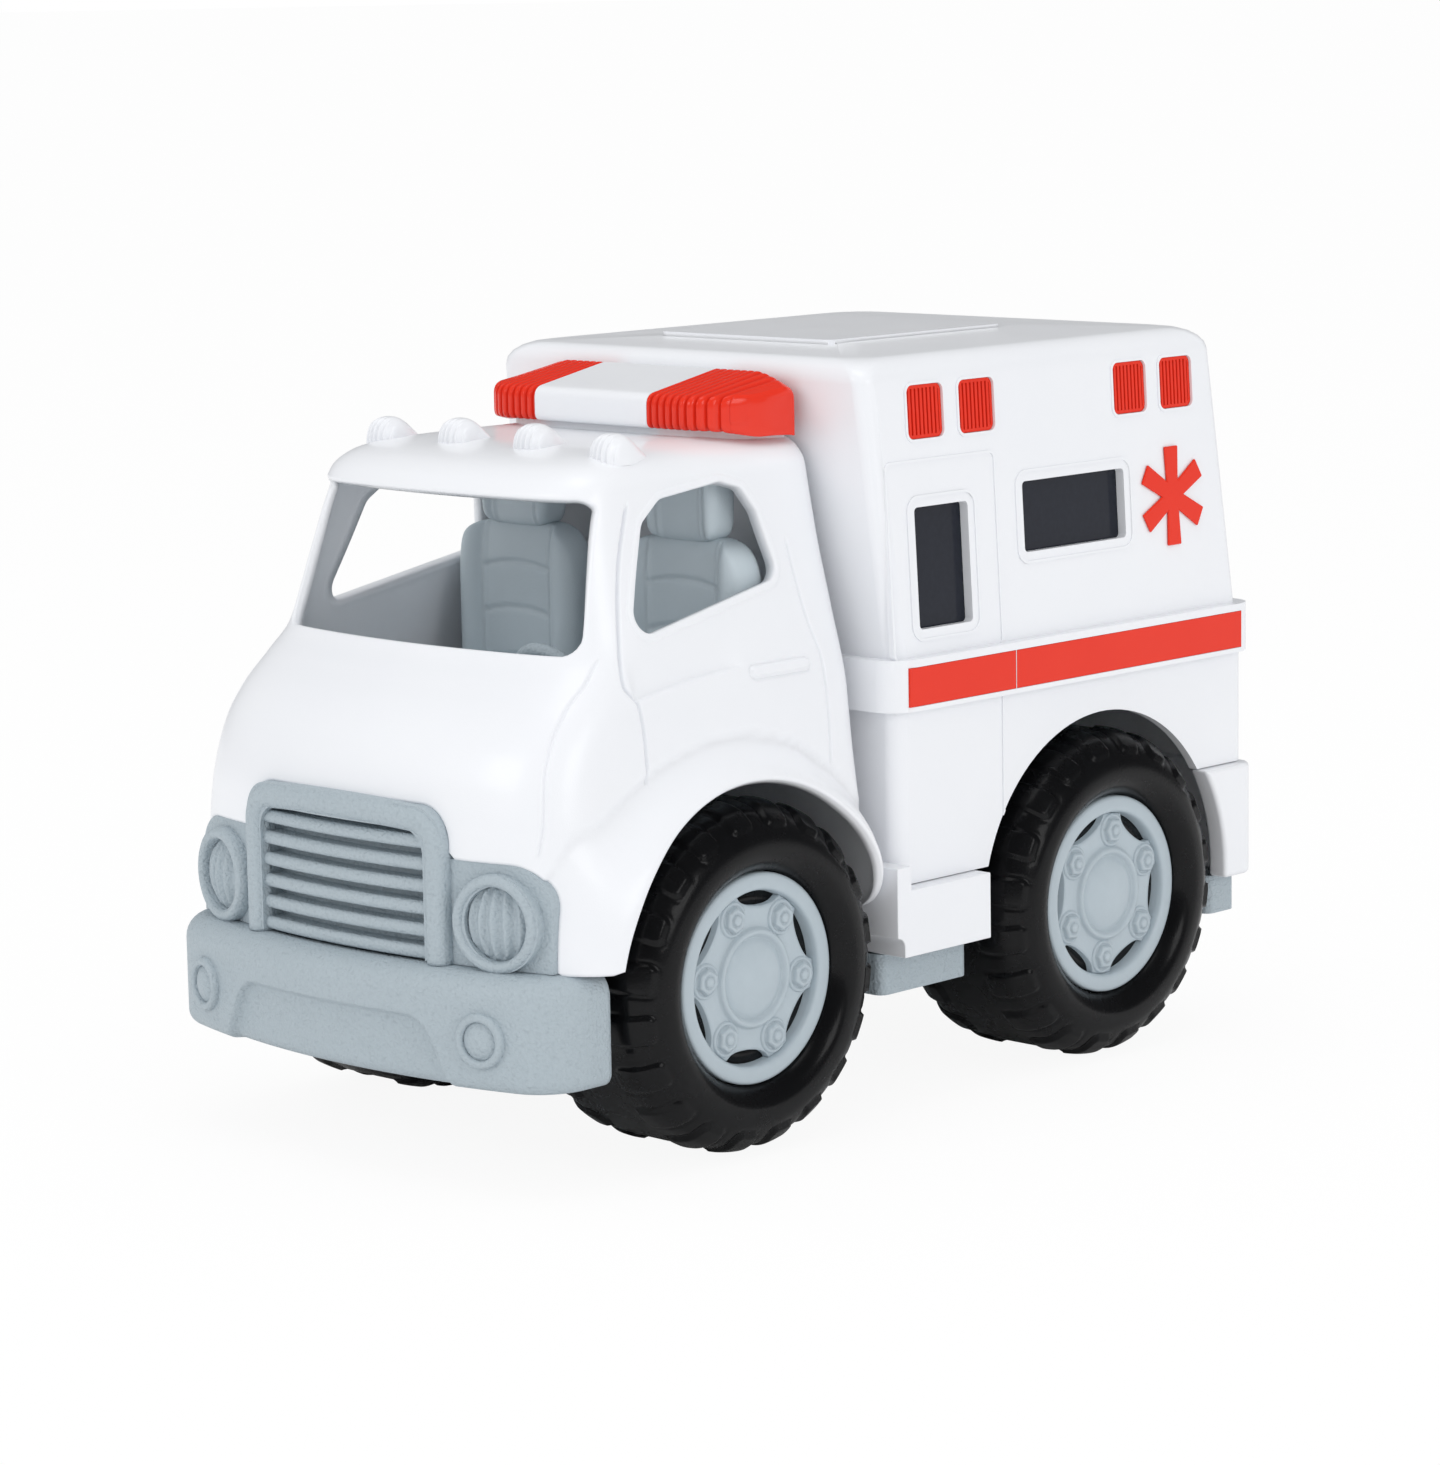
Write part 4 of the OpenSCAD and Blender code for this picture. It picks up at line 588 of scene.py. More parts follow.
def roofLights():
    # blunt dome with a long tail: each section is half a squared oval, its width and height follow one squared
    # oval in front and fall evenly behind; upright ribs stand out of the front
    power, noseRows, tailRows = (roofLamp[key] for key in ("power", "noseRows", "tailRows"))
    s = np.concatenate([-np.cos(np.linspace(0, np.pi / 2, noseRows)), np.linspace(0, 1, tailRows)[1:]])[:, None]
    phi = np.linspace(0, np.pi, roofLamp["around"])[None, :]
    nose = np.maximum(1 - np.abs(s) ** power, 0) ** (1 / power)
    width = np.where(s < 0, nose, 1 - (1 - roofLamp["tailHalf"]) * step01(s))
    rise = np.where(s < 0, nose, 1 - step01(s))
    c, v = np.cos(phi), np.sin(phi)
    reach = (np.abs(c) ** power + v ** power) ** (-1 / power)
    x, z = roofLamp["half"] * width * reach * c, roofLamp["high"] * rise * reach * v
    ribs = (roofLamp["ribDeep"] * np.cos(2 * np.pi * x / roofLamp["pitch"])
            * step01((roofLamp["ribFrom"] - s) / roofLamp["ribFade"]) * step01(v / roofLamp["ribFoot"]))
    y = np.where(s < 0, s * roofLamp["nose"], s * roofLamp["tail"]) - ribs
    grid = np.arange(s.size * phi.size).reshape(s.size, phi.size)
    quads = np.stack([grid[:-1, :-1], grid[1:, :-1], grid[1:, 1:], grid[:-1, 1:]], -1).reshape(-1, 4)
    points = np.concatenate([
        np.stack([x + at, y + roofLamp["y"], z + roofLamp["z"] - roofLamp["drop"] * at * at], -1).reshape(-1, 3)
        for at in roofLamp["xs"]])
    faces = np.concatenate([quads + k * grid.size for k in range(len(roofLamp["xs"]))])
    return addPiece("roof_lights", points, [faces], "cab_shell")


roofLights()


def gridQuads(rows, columns, wrapRows=False, wrapColumns=False):  # faces of a grid, closed in either way
    index = np.arange(rows * columns).reshape(rows, columns)
    if wrapRows:
        index = np.concatenate([index, index[:1]], 0)
    if wrapColumns:
        index = np.concatenate([index, index[:, :1]], 1)
    return np.stack([index[:-1, :-1], index[:-1, 1:], index[1:, 1:], index[1:, :-1]], -1).reshape(-1, 4)


def capEnds(grid):  # close a tube of rings with a point at both ends
    ends = [np.repeat(grid[:, [k]].mean(0, keepdims=True), len(grid), 0) for k in (0, -1)]
    return np.concatenate([ends[0], grid, ends[1]], 1)


def outward(points, quads):  # faces turn over where the volume about the middle is negative
    a, b, c, d = (points[quads[:, k]] - points.mean(0) for k in range(4))
    volume = (np.cross(a, b) * c).sum() + (np.cross(a, c) * d).sum()
    return quads if volume > 0 else quads[:, ::-1]


def joinGrids(name, parts, node, sharp=180):  # several point grids, each with its faces, in one piece
    points, faces, start = [], [], 0
    for grid, quads in parts:
        flat = np.asarray(grid, float).reshape(-1, 3)
        points.append(flat)
        faces.append(outward(flat, quads) + start)
        start += len(flat)
    return addPiece(name, np.concatenate(points), faces, node, sharp=sharp)


def alongCurve(corners, count):  # smooth line through the corner points, evenly spaced
    corners = np.asarray(corners, float)
    run = lengthAlong(corners)
    fine = np.linspace(0, run[-1], 4000)
    line = np.stack([smoothCurve(run, corners[:, k], fine) for k in range(corners.shape[1])], 1)
    length = lengthAlong(line)
    even = np.linspace(0, length[-1], count)
    return np.stack([np.interp(even, length, line[:, k]) for k in range(corners.shape[1])], 1)


tyre = dict(mid=60.0, lugs=20, around=480, across=84, lugHigh=0.95, lugHalf=3.9, lugFrom=10.5, lugTo=25.6,
            lugRound=2.0, edge=0.8, moatDeep=0.25, moatAt=0.9, moatHalf=0.5, pitShadeAround=120,
            side=[(49.05, 0), (49.0, 9), (48.7, 14.5), (47.6, 18.6), (45.2, 21.8), (42.6, 24.0), (39.5, 25.3),
                  (36.6, 25.6), (34.2, 25.0), (32.3, 23.6), (30.9, 21.9), (30.15, 20.4)],  # radius, off the middle
            pitShade=[(19.6, 77.4), (24.35, 77.4), (24.35, 76.4), (19.6, 76.4)])  # painted shade: black ring in the hub's pits, as radius and place on the axle


def tyreGrid():
    # ring about the axle: the section runs from the middle of the tread over the shoulder to the bead and is
    # mirrored; pads, rounded boxes in the distances along the tread and down the section, rise at right angles
    # out of a shallow moat
    half = alongCurve(tyre["side"], tyre["across"] // 2)
    run = lengthAlong(half)
    radius = np.concatenate([half[::-1, 0], half[1:, 0]])[:, None]
    offset = np.concatenate([half[::-1, 1], -half[1:, 1]])[:, None]
    down = np.concatenate([run[::-1], -run[1:]])[:, None]
    slope = np.gradient(np.concatenate([radius, offset], 1), axis=0)
    slope /= np.linalg.norm(slope, axis=1, keepdims=True)
    outR, outX = -slope[:, 1:], slope[:, :1]
    turn = np.linspace(0, 2 * np.pi, tyre["around"], endpoint=False)[None, :]
    pitch = 2 * np.pi / tyre["lugs"]
    shifted = turn + np.where(down > 0, 0, pitch / 2)
    place = ((shifted / pitch) % 1 - 0.5) * pitch * radius
    middle, long = (tyre["lugFrom"] + tyre["lugTo"]) / 2, (tyre["lugTo"] - tyre["lugFrom"]) / 2
    gap = rectGap(place, np.abs(down) - middle, tyre["lugHalf"], long, tyre["lugRound"])
    moat = tyre["moatDeep"] * np.exp(-((gap - tyre["moatAt"]) / tyre["moatHalf"]) ** 2)
    rise = tyre["lugHigh"] * step01(0.5 - gap / tyre["edge"]) - moat * (np.abs(down) > tyre["lugFrom"])
    r, x = radius + outR * rise, offset + outX * rise
    return r * np.cos(turn), r * np.sin(turn), tyre["mid"] + x + 0 * turn


hubCap = dict(
    face=81.6, rim=29.8, ring=24.4, back=46.0, plate=1.9, deep=9.0, scallop=4.2, scallopHalf=20.0, around=360,
    plateFrom=16.5, plateShares=(.35, .7, .96), nutCircle=19.2, nutAround=48, nutCorner=1.06,
    capRows=[(0, 1.9), (3, 1.8), (6, 1.5), (9, 1.0), (10.6, .5), (11.2, .05), (11.5, .05), (11.9, .7), (12.4, 1.3),
             (13.0, 1.5), (13.6, 1.35), (14.0, .8), (14.3, .15), (14.7, 0), (16.5, 0)],  # radius, height
    nutRows=[(0, 2.5, 0), (1.1, 2.4, 0), (1.5, 2.1, 0), (1.55, 1.6, 0), (1.9, 1.55, 0), (2.2, 1.9, 0),
             (2.9, 1.9, .6), (3.35, 1.6, 1), (3.6, 1.1, 1), (3.65, .3, 1), (3.9, .25, 0), (4.2, .6, 0),
             (4.6, .65, 0), (5.0, .35, 0), (5.2, -.2, 0)])  # radius, height, how six-sided


def hubGrids(turned):
    # plate: rows at radii that follow its scalloped edge, then wall, deep floor, outer wall, rim and back
    around, ring, rim, back = (hubCap[key] for key in ("around", "ring", "rim", "back"))
    face, plate, deep = hubCap["face"], hubCap["face"] - hubCap["plate"], hubCap["face"] - hubCap["deep"]
    turn = np.linspace(0, 2 * np.pi, around, endpoint=False)
    mid = np.degrees(turn - turned) % 60 - 30
    dip = hubCap["scallop"] * np.sqrt(np.maximum(1 - (mid / hubCap["scallopHalf"]) ** 2, 0))
    edge, inner = ring - 0.02 - dip, hubCap["plateFrom"]
    rows = [(r, plate + h) for r, h in hubCap["capRows"]]
    rows += [(inner + (edge - inner) * share, plate) for share in hubCap["plateShares"]]
    rows += [(edge, plate - .25), (edge, deep), (edge + .01, deep), (ring, deep), (ring + .02, plate - .3),
             (ring + .35, face - .9), (ring + .6, face - .35), (ring + 1.1, face - .05), (ring + 1.8, face),
             (rim - 1.2, face), (rim - .5, face - .12), (rim - .12, face - .5), (rim, face - 1.2), (rim, back),
             (20, back), (0, back)]
    r, x = (np.stack([row[k] + 0 * turn for row in rows]) for k in (0, 1))
    parts = [((r * np.cos(turn), r * np.sin(turn), x), gridQuads(len(rows), around, wrapColumns=True))]
    # nuts: six-sided rows with a chamfer round a stud, in a raised collar
    phi = np.linspace(0, 2 * np.pi, hubCap["nutAround"], endpoint=False)
    hexed = np.cos(np.pi / 6) / np.cos((phi + np.pi / 6) % (np.pi / 3) - np.pi / 6)
    nutR = np.stack([radius * ((1 - six) + six * hexed * hubCap["nutCorner"])
                     for radius, _, six in hubCap["nutRows"]])
    nutX = np.stack([plate + high + 0 * phi for _, high, _ in hubCap["nutRows"]])
    for at in turned + np.arange(6) * np.pi / 3:
        parts.append(((hubCap["nutCircle"] * np.cos(at) + nutR * np.cos(phi + at),
                       hubCap["nutCircle"] * np.sin(at) + nutR * np.sin(phi + at), nutX),
                      gridQuads(*nutR.shape, wrapColumns=True)))
    return parts


def setWheel(grid, axleY, side):  # ring axes onto the axle line; the right side is mirrored in X
    along, up, out = grid
    return np.stack([side * out, axleY + along, wheelLine["high"] + up], -1)


tyreLocal = tyreGrid()
pitShadeR, pitShadeX = np.array(tyre["pitShade"]).T[:, :, None]  # painted shade: a black flat ring over the hub's deep floor, seen in the hub's pits
pitShadeTurn = np.linspace(0, 2 * np.pi, tyre["pitShadeAround"], endpoint=False)
pitShadeLocal = (pitShadeR * np.cos(pitShadeTurn), pitShadeR * np.sin(pitShadeTurn), pitShadeX + 0 * pitShadeTurn)
for end in ("front", "rear"):
    axleY, hubParts = wheelLine[end], hubGrids(wheelLine[end + "Turned"])
    for side, word in ((1, "left"), (-1, "right")):
        # each tread piece also holds the black ring of painted shade in its hub's pits
        joinGrids(f"{end}_{word}_tread", [(setWheel(grid, axleY, side), gridQuads(*grid[0].shape, True, True))
                                          for grid in (tyreLocal, pitShadeLocal)], f"{end}_{word}_tyre")
        joinGrids(f"{end}_{word}_rim", [(setWheel(grid, axleY, side), quads) for grid, quads in hubParts],
                  f"{end}_{word}_hub")
print("wheels done")


bumper = dict(front=-157.5, bow=245.0, half=79.0, corner=18.0, wrap=34.0, bottom=29.0, top=61.2, wall=6.0,
              topRound=7.0, footRound=4.0, shelf=14.0, shelfThick=3.0, recessHalf=46.0, recessTop=47.5,
              recessDeep=2.6, recessRound=5, recessEdge=2.0, slope=0.5, bowColumns=220, cornerColumns=34,
              sideColumns=8, roundRows=9, faceRows=36, innerRows=8)


def bumperGrid():
    # the plan line, bow then corner arc then straight side, is drawn in by the section's rounding at each height;
    # a recess with slanting sides and rounded upper corners sinks into the face
    front, bow, half, corner = (bumper[key] for key in ("front", "bow", "half", "corner"))
    run = half - corner
    turn = math.asin(run / (bow - corner))
    cornerY = front + bow - (bow - corner) * math.cos(turn)
    bowTurn = np.linspace(-turn, turn, bumper["bowColumns"])
    cornerTurn = np.linspace(turn, math.pi / 2, bumper["cornerColumns"])[1:]
    sideY = np.linspace(cornerY, front + bumper["wrap"], bumper["sideColumns"])[1:]
    x = np.concatenate([bow * np.sin(bowTurn), run + corner * np.sin(cornerTurn), np.full(len(sideY), half)])
    y = np.concatenate([front + bow * (1 - np.cos(bowTurn)), cornerY - corner * np.cos(cornerTurn), sideY])
    nx = np.concatenate([np.sin(bowTurn), np.sin(cornerTurn), np.ones(len(sideY))])
    ny = np.concatenate([-np.cos(bowTurn), -np.cos(cornerTurn), np.zeros(len(sideY))])
    keep = x >= 0
    x, y, nx, ny = (np.concatenate([sign * v[keep][::-1], v[keep]])
                    for v, sign in ((x, -1), (y, 1), (nx, -1), (ny, 1)))
    bend = np.linspace(0, math.pi / 2, bumper["roundRows"])
    top, bottom, wall, shelf = (bumper[key] for key in ("top", "bottom", "wall", "shelf"))
    topRound, footRound, under = bumper["topRound"], bumper["footRound"], top - bumper["shelfThick"]
    faceRows, innerRows = bumper["faceRows"], bumper["innerRows"]
    inset = np.concatenate([[wall, shelf, shelf, topRound], topRound * (1 - np.sin(bend)), np.zeros(faceRows - 2),
                            footRound * (1 - np.cos(bend)), [wall] * (innerRows - 1)])
    high = np.concatenate([[under, under, top, top], top - topRound * (1 - np.cos(bend)),
                           np.linspace(top - topRound, bottom + footRound, faceRows)[1:-1],
                           bottom + footRound * (1 - np.sin(bend)), [bottom],
                           np.linspace(bottom, under, innerRows)[1:-1]])
    z = high[:, None] + 0 * x
    beside = np.abs(x) - (bumper["recessHalf"] - bumper["slope"] * (z - bottom))
    above, soft = z - bumper["recessTop"], bumper["recessRound"]
    rounded = np.hypot(np.maximum(beside + soft, 0), np.maximum(above + soft, 0)) - soft
    gap = np.where((beside > -soft) & (above > -soft), rounded, np.maximum(beside, above))
    sunk = bumper["recessDeep"] * step01(0.5 - gap / bumper["recessEdge"]) * (inset < wall)[:, None]
    moved = inset[:, None] + sunk
    return capEnds(np.stack([x - nx * moved, y - ny * moved, z], -1))


lamps = dict(  # places in x and z; lenses as radius, rise, lift and rows; rings as radius and height
    fog=(57.0, 43.4), fogLens=(5.25, 1.7, .5, 14), head=(56.0, 74.1), headLens=(10.25, 3.4, .2, 40),
    flutes=0.7, flutePitch=4.1, fluteBow=0.012, fluteFade=1.2, around=64, headAround=120,
    fogRing=[(5.3, -1), (5.3, 1.1), (5.6, 1.6), (6.2, 1.9), (6.9, 1.8), (7.4, 1.3), (7.6, .5), (7.6, -1)],
    headRing=[(10.3, -1), (10.3, 2.4), (10.6, 3.2), (11.2, 3.7), (11.9, 3.8), (12.7, 3.5), (13.3, 2.8), (13.6, 1.8),
              (13.7, .6), (13.7, -1)])
grille = dict(front=-148.5, half=37.0, foot=61.3, top=100.6, corner=8.0, arch=1.0, bar=3.75, proud=4.0, power=2.5,
              around=40, behind=2.0, slats=6, slatFoot=63.7, pitch=6.1, slatHalf=34.6, slatBar=1.85,
              slatProud=1.5, slatPower=2.2, slatAround=24)


def noseDisc(x, z, frontY, profile, flutes, around):
    # piece turned about a line square to the bowed nose, from rows of radius and height
    tilt = math.asin(x / bumper["bow"])
    phi = np.linspace(0, 2 * np.pi, around, endpoint=False)[None, :]
    r, h = (np.array([row[k] for row in profile])[:, None] for k in (0, 1))
    across, up = r * np.cos(phi), r * np.sin(phi)
    if flutes:  # upright flutes that bow with the lens
        pitch = lamps["flutePitch"] - lamps["fluteBow"] * up * up
        h = h + flutes * np.cos(2 * np.pi * across / pitch) * step01((profile[-1][0] - r) / lamps["fluteFade"])
    h = h + 0 * phi
    sag = bumper["bow"] * (1 - math.cos(tilt))
    return (np.stack([x + across * math.cos(tilt) + h * math.sin(tilt),
                      frontY + sag + across * math.sin(tilt) - h * math.cos(tilt), z + up], -1),
            gridQuads(len(profile), around, wrapColumns=True))


def bothDiscs(place, frontY, profile, flutes=0.0, around=lamps["around"]):  # right and left of the nose
    return [noseDisc(side * place[0], place[1], frontY, profile, flutes, around) for side in (-1, 1)]


def domeRows(radius, rise, lift, count):  # height falls with the square of the radius
    return [(r, lift + rise * (1 - (r / radius) ** 2)) for r in np.linspace(0, radius, count)]


bumperPoints = bumperGrid()
joinGrids("front_bumper_skin", [(bumperPoints, gridQuads(*bumperPoints.shape[:2], wrapRows=True))]
          + bothDiscs(lamps["fog"], bumper["front"], lamps["fogRing"]), "front_bumper")
joinGrids("fog_lamps", bothDiscs(lamps["fog"], bumper["front"], domeRows(*lamps["fogLens"])), "fog_lamp_lenses")
joinGrids("headlights", bothDiscs(lamps["head"], grille["front"], domeRows(*lamps["headLens"]), lamps["flutes"],
                                  lamps["headAround"]), "headlight_lenses")


def noseSweep(path, half, rise, power, around):
    # a bar along a path of x and z on the bowed panel: its section is a squared oval, higher in front than behind
    way = np.gradient(path, axis=0)
    way /= np.maximum(np.linalg.norm(way, axis=1, keepdims=True), 1e-9)
    turn = np.linspace(0, 2 * np.pi, around, endpoint=False)[None, :]
    c, s = np.cos(turn), np.sin(turn)
    reach = (np.abs(c) ** power + np.abs(s) ** power) ** (-1 / power)
    close = np.ones((len(path), 1))
    close[[0, -1]] = 0
    across, height = half * reach * c * close, np.where(s > 0, rise, grille["behind"]) * reach * s * close
    x, z = path[:, :1] - way[:, 1:] * across, path[:, 1:] + way[:, :1] * across
    tilt = np.arcsin(x / bumper["bow"])
    y = grille["front"] + noseSag(x) - height * np.cos(tilt)
    return np.stack([x + height * np.sin(tilt), y, z], -1), gridQuads(len(path), around, wrapColumns=True)


def framePath():  # up one leg, round its corner, over the slightly arched top and down the other leg
    turn = np.linspace(0, np.pi / 2, 16)
    corner, top = grille["corner"], grille["top"]
    legs = np.linspace(grille["foot"], top - corner, 24)
    legs = np.concatenate([legs[:1], legs])  # the doubled end closes the bar
    bend = grille["half"] - corner
    tops = np.linspace(-bend, bend, 60)
    arc = np.stack([-bend - corner * np.cos(turn), top - corner * (1 - np.sin(turn))], 1)
    side = np.concatenate([np.stack([0 * legs - grille["half"], legs], 1), arc[1:-1]])
    over = np.stack([tops, top + grille["arch"] * (1 - (tops / bend) ** 2)], 1)
    return np.concatenate([side, over, side[::-1] * (-1, 1)])


def slatPath(k):  # level line across the panel, its ends doubled
    run = np.linspace(-grille["slatHalf"], grille["slatHalf"], 50)
    run = np.concatenate([run[:1], run, run[-1:]])
    return np.stack([run, 0 * run + grille["slatFoot"] + grille["pitch"] * k], 1)


slats = [noseSweep(slatPath(k), grille["slatBar"], grille["slatProud"], grille["slatPower"], grille["slatAround"])
         for k in range(grille["slats"])]
surround = noseSweep(framePath(), grille["bar"], grille["proud"], grille["power"], grille["around"])
joinGrids("grille_frame", [surround] + slats + bothDiscs(lamps["head"], grille["front"], lamps["headRing"]),
          "grille_panel")
print("bumper, grille and lamps done")

seat = dict(x=34.0, power=4.5, back=(-41.6, 138.0), backHalf=(24.0, 5.4, 30.0), backGrid=(120, 170),
            head=(-42.4, 178.0), headHalf=(13.6, 5.2, 11.6), headGrid=(90, 140),
            cushion=(-62.0, 115.0), cushionHalf=(24.0, 23.0, 9.5), cushionGrid=(50, 120),
            panel=13.6, headPanel=8.4, seams=(126.0, 140.5, 154.0), bow=1.8, seamDeep=1.0, seamHalf=0.6,
            piping=0.9, pipeHalf=0.7, pipeClear=0.8, bolster=4.2, swellPower=0.8, swellRun=10,
            frontFrom=1.0, frontFade=4)


def paddedBlock(centre, half, rows, around):
    # closed cushion: every level is the same squared oval, drawn in towards both ends by the same power
    power = seat["power"]
    fine = np.linspace(0, 2 * np.pi, 6001)
    reach = (np.abs(np.cos(fine)) ** power + np.abs(np.sin(fine)) ** power) ** (-1 / power)
    ring = np.stack([half[0] * reach * np.cos(fine), half[1] * reach * np.sin(fine)], 1)
    run = lengthAlong(ring)
    even = np.linspace(0, run[-1], around, endpoint=False)
    px, py = (np.interp(even, run, ring[:, k])[None, :] for k in (0, 1))
    t = np.sin(np.linspace(-np.pi / 2, np.pi / 2, rows))[:, None]
    draw = np.maximum(1 - np.abs(t) ** power, 0) ** (1 / power)
    return np.stack([centre[0] + px * draw, centre[1] + py * draw, centre[2] + half[2] * t + 0 * px], -1)


def seatRelief(points, x, y, panel, reach, seamsAt):  # forward relief: sewn seams, piping and side bolsters
    across, z = np.abs(points[..., 0] - x), points[..., 2]
    front = step01((y + seat["frontFrom"] - points[..., 1]) / seat["frontFade"])
    bowed = seat["bow"] * (1 - (across / panel) ** 2)
    seam = sum(np.exp(-((z - at - bowed) / seat["seamHalf"]) ** 2) for at in seamsAt)
    pipe = seat["piping"] * np.exp(-((across - panel) / seat["pipeHalf"]) ** 2)
    share = np.clip((across - panel - seat["pipeClear"]) / (reach - panel), 0, 1)
    swell = seat["bolster"] * np.sin(np.pi * share) ** seat["swellPower"] * (reach - panel) / seat["swellRun"]
    points[..., 1] -= front * (pipe + swell - seat["seamDeep"] * seam * (across < panel))
    return points


def seatGrids(x):  # back rest, head rest and cushion of the seat at x
    back, head, cushion = (paddedBlock((x, *seat[key]), seat[key + "Half"], *seat[key + "Grid"])
                           for key in ("back", "head", "cushion"))
    return [seatRelief(back, x, seat["back"][0], seat["panel"], seat["backHalf"][0], seat["seams"]),
            seatRelief(head, x, seat["head"][0], seat["headPanel"], seat["headHalf"][0], ()), cushion]


joinGrids("cab_seats", [(grid, gridQuads(*grid.shape[:2], wrapColumns=True))
                        for x in (-seat["x"], seat["x"]) for grid in seatGrids(x)], "cab_interior")

tray = dict(half=63.0, front=-116.3, back=-17.6, floor=106.1, thick=3.0, dashHalf=52.0, dashDeep=14.0,
            dashTop=137.6, dashCrest=0.7, edge=1.2, segments=2)


def prism(half, outline):  # an outline in y and z, run across the cab from -half to half
    outline = np.asarray(outline, float)
    n = len(outline)
    ends = [np.concatenate([np.full((n, 1), x), outline], 1) for x in (-half, half)]
    k = np.arange(n)
    walls = np.stack([k, np.roll(k, -1), np.roll(k, -1) + n, k + n], 1)
    return np.concatenate(ends), [k[None, ::-1], k[None] + n, walls]


def trayOutlines():  # floor plate, and a dash that falls to both sides of its crest
    front, back, base, thick = (tray[key] for key in ("front", "back", "floor", "thick"))
    deep, top = tray["dashDeep"], tray["dashTop"]
    plate = [(front, base), (back, base), (back, base + thick), (front, base + thick)]
    dash = [(front, base), (front + deep, base), (front + deep, top - deep / 2),
            (front + deep * tray["dashCrest"], top), (front, top - thick)]
    return ("cab_tray", tray["half"], plate), ("cab_dash", tray["dashHalf"], dash)


for name, half, outline in trayOutlines():
    trayPiece = addPiece(name, *prism(half, outline), "cab_interior", smooth=False)
    soften(trayPiece, tray["edge"] * mm, tray["segments"])
print("cab interior done")

bar = dict(half=51.3, mid=22.8, gap=0.15, foot=198.0, droop=2.8, droopPower=4, top=213.7, front=-48.8, back=-17.0,
           brow=207.6, browBelow=2.0, fall=4.8, fallPower=1.5, topHalf=38.0, bend=34.8, bendDeep=22.0,
           browRound=3.0, topRound=4.0, footRound=2.4, endRound=1.3, pitch=2.68, firstRib=1.3, ribDeep=1.5,
           ribHalf=0.45, ribFade=0.3, ribBack=0.5, padAt=49.0, padHalf=1.2, padHigh=3.6, padZ=203.4, padOut=0.5,
           padRound=0.6, padEdge=0.4, padBack=4, plinth=4.5, plinthFoot=190.0, plinthBack=0.5, plinthInto=1.0,
           straightRows=12, coverColumns=24, lensColumns=90, bendColumns=180, plinthColumns=60, sharp=40)


def roundCorner(before, at, after, radius, count=8):  # quadratic arc that leaves both sides at the radius
    first, last = (at + radius * (end - at) / np.linalg.norm(end - at, axis=-1, keepdims=True)
                   for end in (before, after))
    t = np.linspace(0, 1, count)[:, None, None]
    return (1 - t) ** 2 * first + 2 * t * (1 - t) * at + t * t * last


def barEdges(a):  # front, foot and top of the section at each distance from the middle
    u = np.clip((a - bar["bend"]) / (bar["half"] - bar["bend"]), 0, 1)
    front = bar["front"] + bar["bendDeep"] * (1 - np.sqrt(1 - u * u))
    foot = bar["foot"] - bar["droop"] * u ** bar["droopPower"]
    outer = np.clip((a - bar["topHalf"]) / (bar["half"] - bar["topHalf"]), 0, 1)
    return front, foot, bar["top"] - bar["fall"] * outer ** bar["fallPower"]


def barGrid(x, ribbed):
    # sections in y and z at each x: rounded foot, upright front, rounded brow, rising top, upright back; the
    # front turns back along a quarter ellipse and the top falls to the ends; on a lens, narrow grooves lie at
    # even places in x and a small pad stands out near the end
    a = np.abs(x)
    front, foot, top = barEdges(a)
    brow = np.minimum(bar["brow"], top - bar["browBelow"])
    corner = [np.stack([y + 0 * a, z + 0 * a], -1) for y, z in (
        (bar["back"], foot), (front, foot), (front, brow), (bar["back"], top), (bar["back"], foot))]
    arcs = [roundCorner(*corner[k:k + 3], bar[key])
            for k, key in enumerate(("footRound", "browRound", "topRound"))]
    t = np.linspace(0, 1, bar["straightRows"])[1:-1, None, None]
    rows = np.concatenate([arcs[0], arcs[0][-1] + (arcs[1][0] - arcs[0][-1]) * t, arcs[1],
                           arcs[1][-1] + (arcs[2][0] - arcs[1][-1]) * t, arcs[2], corner[4][None]])
    way = np.gradient(rows, axis=0)
    square = np.stack([-way[..., 1], way[..., 0]], -1) / np.linalg.norm(way, axis=-1, keepdims=True)
    end = np.clip((a - bar["half"] + bar["endRound"]) / bar["endRound"], 0, 1)
    push = -bar["endRound"] * (1 - np.sqrt(1 - end ** 2)) + 0 * rows[..., 0]
    if ribbed:
        place = (((a - bar["mid"] - bar["firstRib"]) / bar["pitch"] + 0.5) % 1 - 0.5) * bar["pitch"]
        inside = step01((bar["padAt"] - bar["padHalf"] - a) / bar["ribFade"])
        ribs = np.exp(-(place / bar["ribHalf"]) ** 2) * inside
        push = push - bar["ribDeep"] * ribs * (rows[..., 0] < bar["back"] - bar["ribBack"])
        pad = rectGap(a - bar["padAt"], rows[..., 1] - bar["padZ"], bar["padHalf"], bar["padHigh"], bar["padRound"])
        ahead = rows[..., 0] < bar["back"] - bar["padBack"]
        push = push + bar["padOut"] * step01(0.5 - pad / bar["padEdge"]) * ahead
    rows = rows + square * push[..., None]
    grid = capEnds(np.concatenate([np.broadcast_to(x, rows.shape[:2])[..., None], rows], -1))
    return grid, gridQuads(*grid.shape[:2], wrapRows=True)


def plinthGrid():  # narrower block under the bar, down into the roof
    reach = bar["half"] - bar["plinth"]
    x = np.linspace(-reach, reach, bar["plinthColumns"])
    front, foot, _ = barEdges(np.minimum(np.abs(x) + bar["plinth"], bar["half"]))
    y = np.stack([front + bar["plinth"]] * 2 + [np.full_like(x, bar["back"] - bar["plinthBack"])] * 2)
    low, into = np.full_like(x, bar["plinthFoot"]), foot + bar["plinthInto"]
    grid = capEnds(np.stack([np.broadcast_to(x, y.shape), y, np.stack([low, into, into, low])], -1))
    return grid, gridQuads(*grid.shape[:2], wrapRows=True)


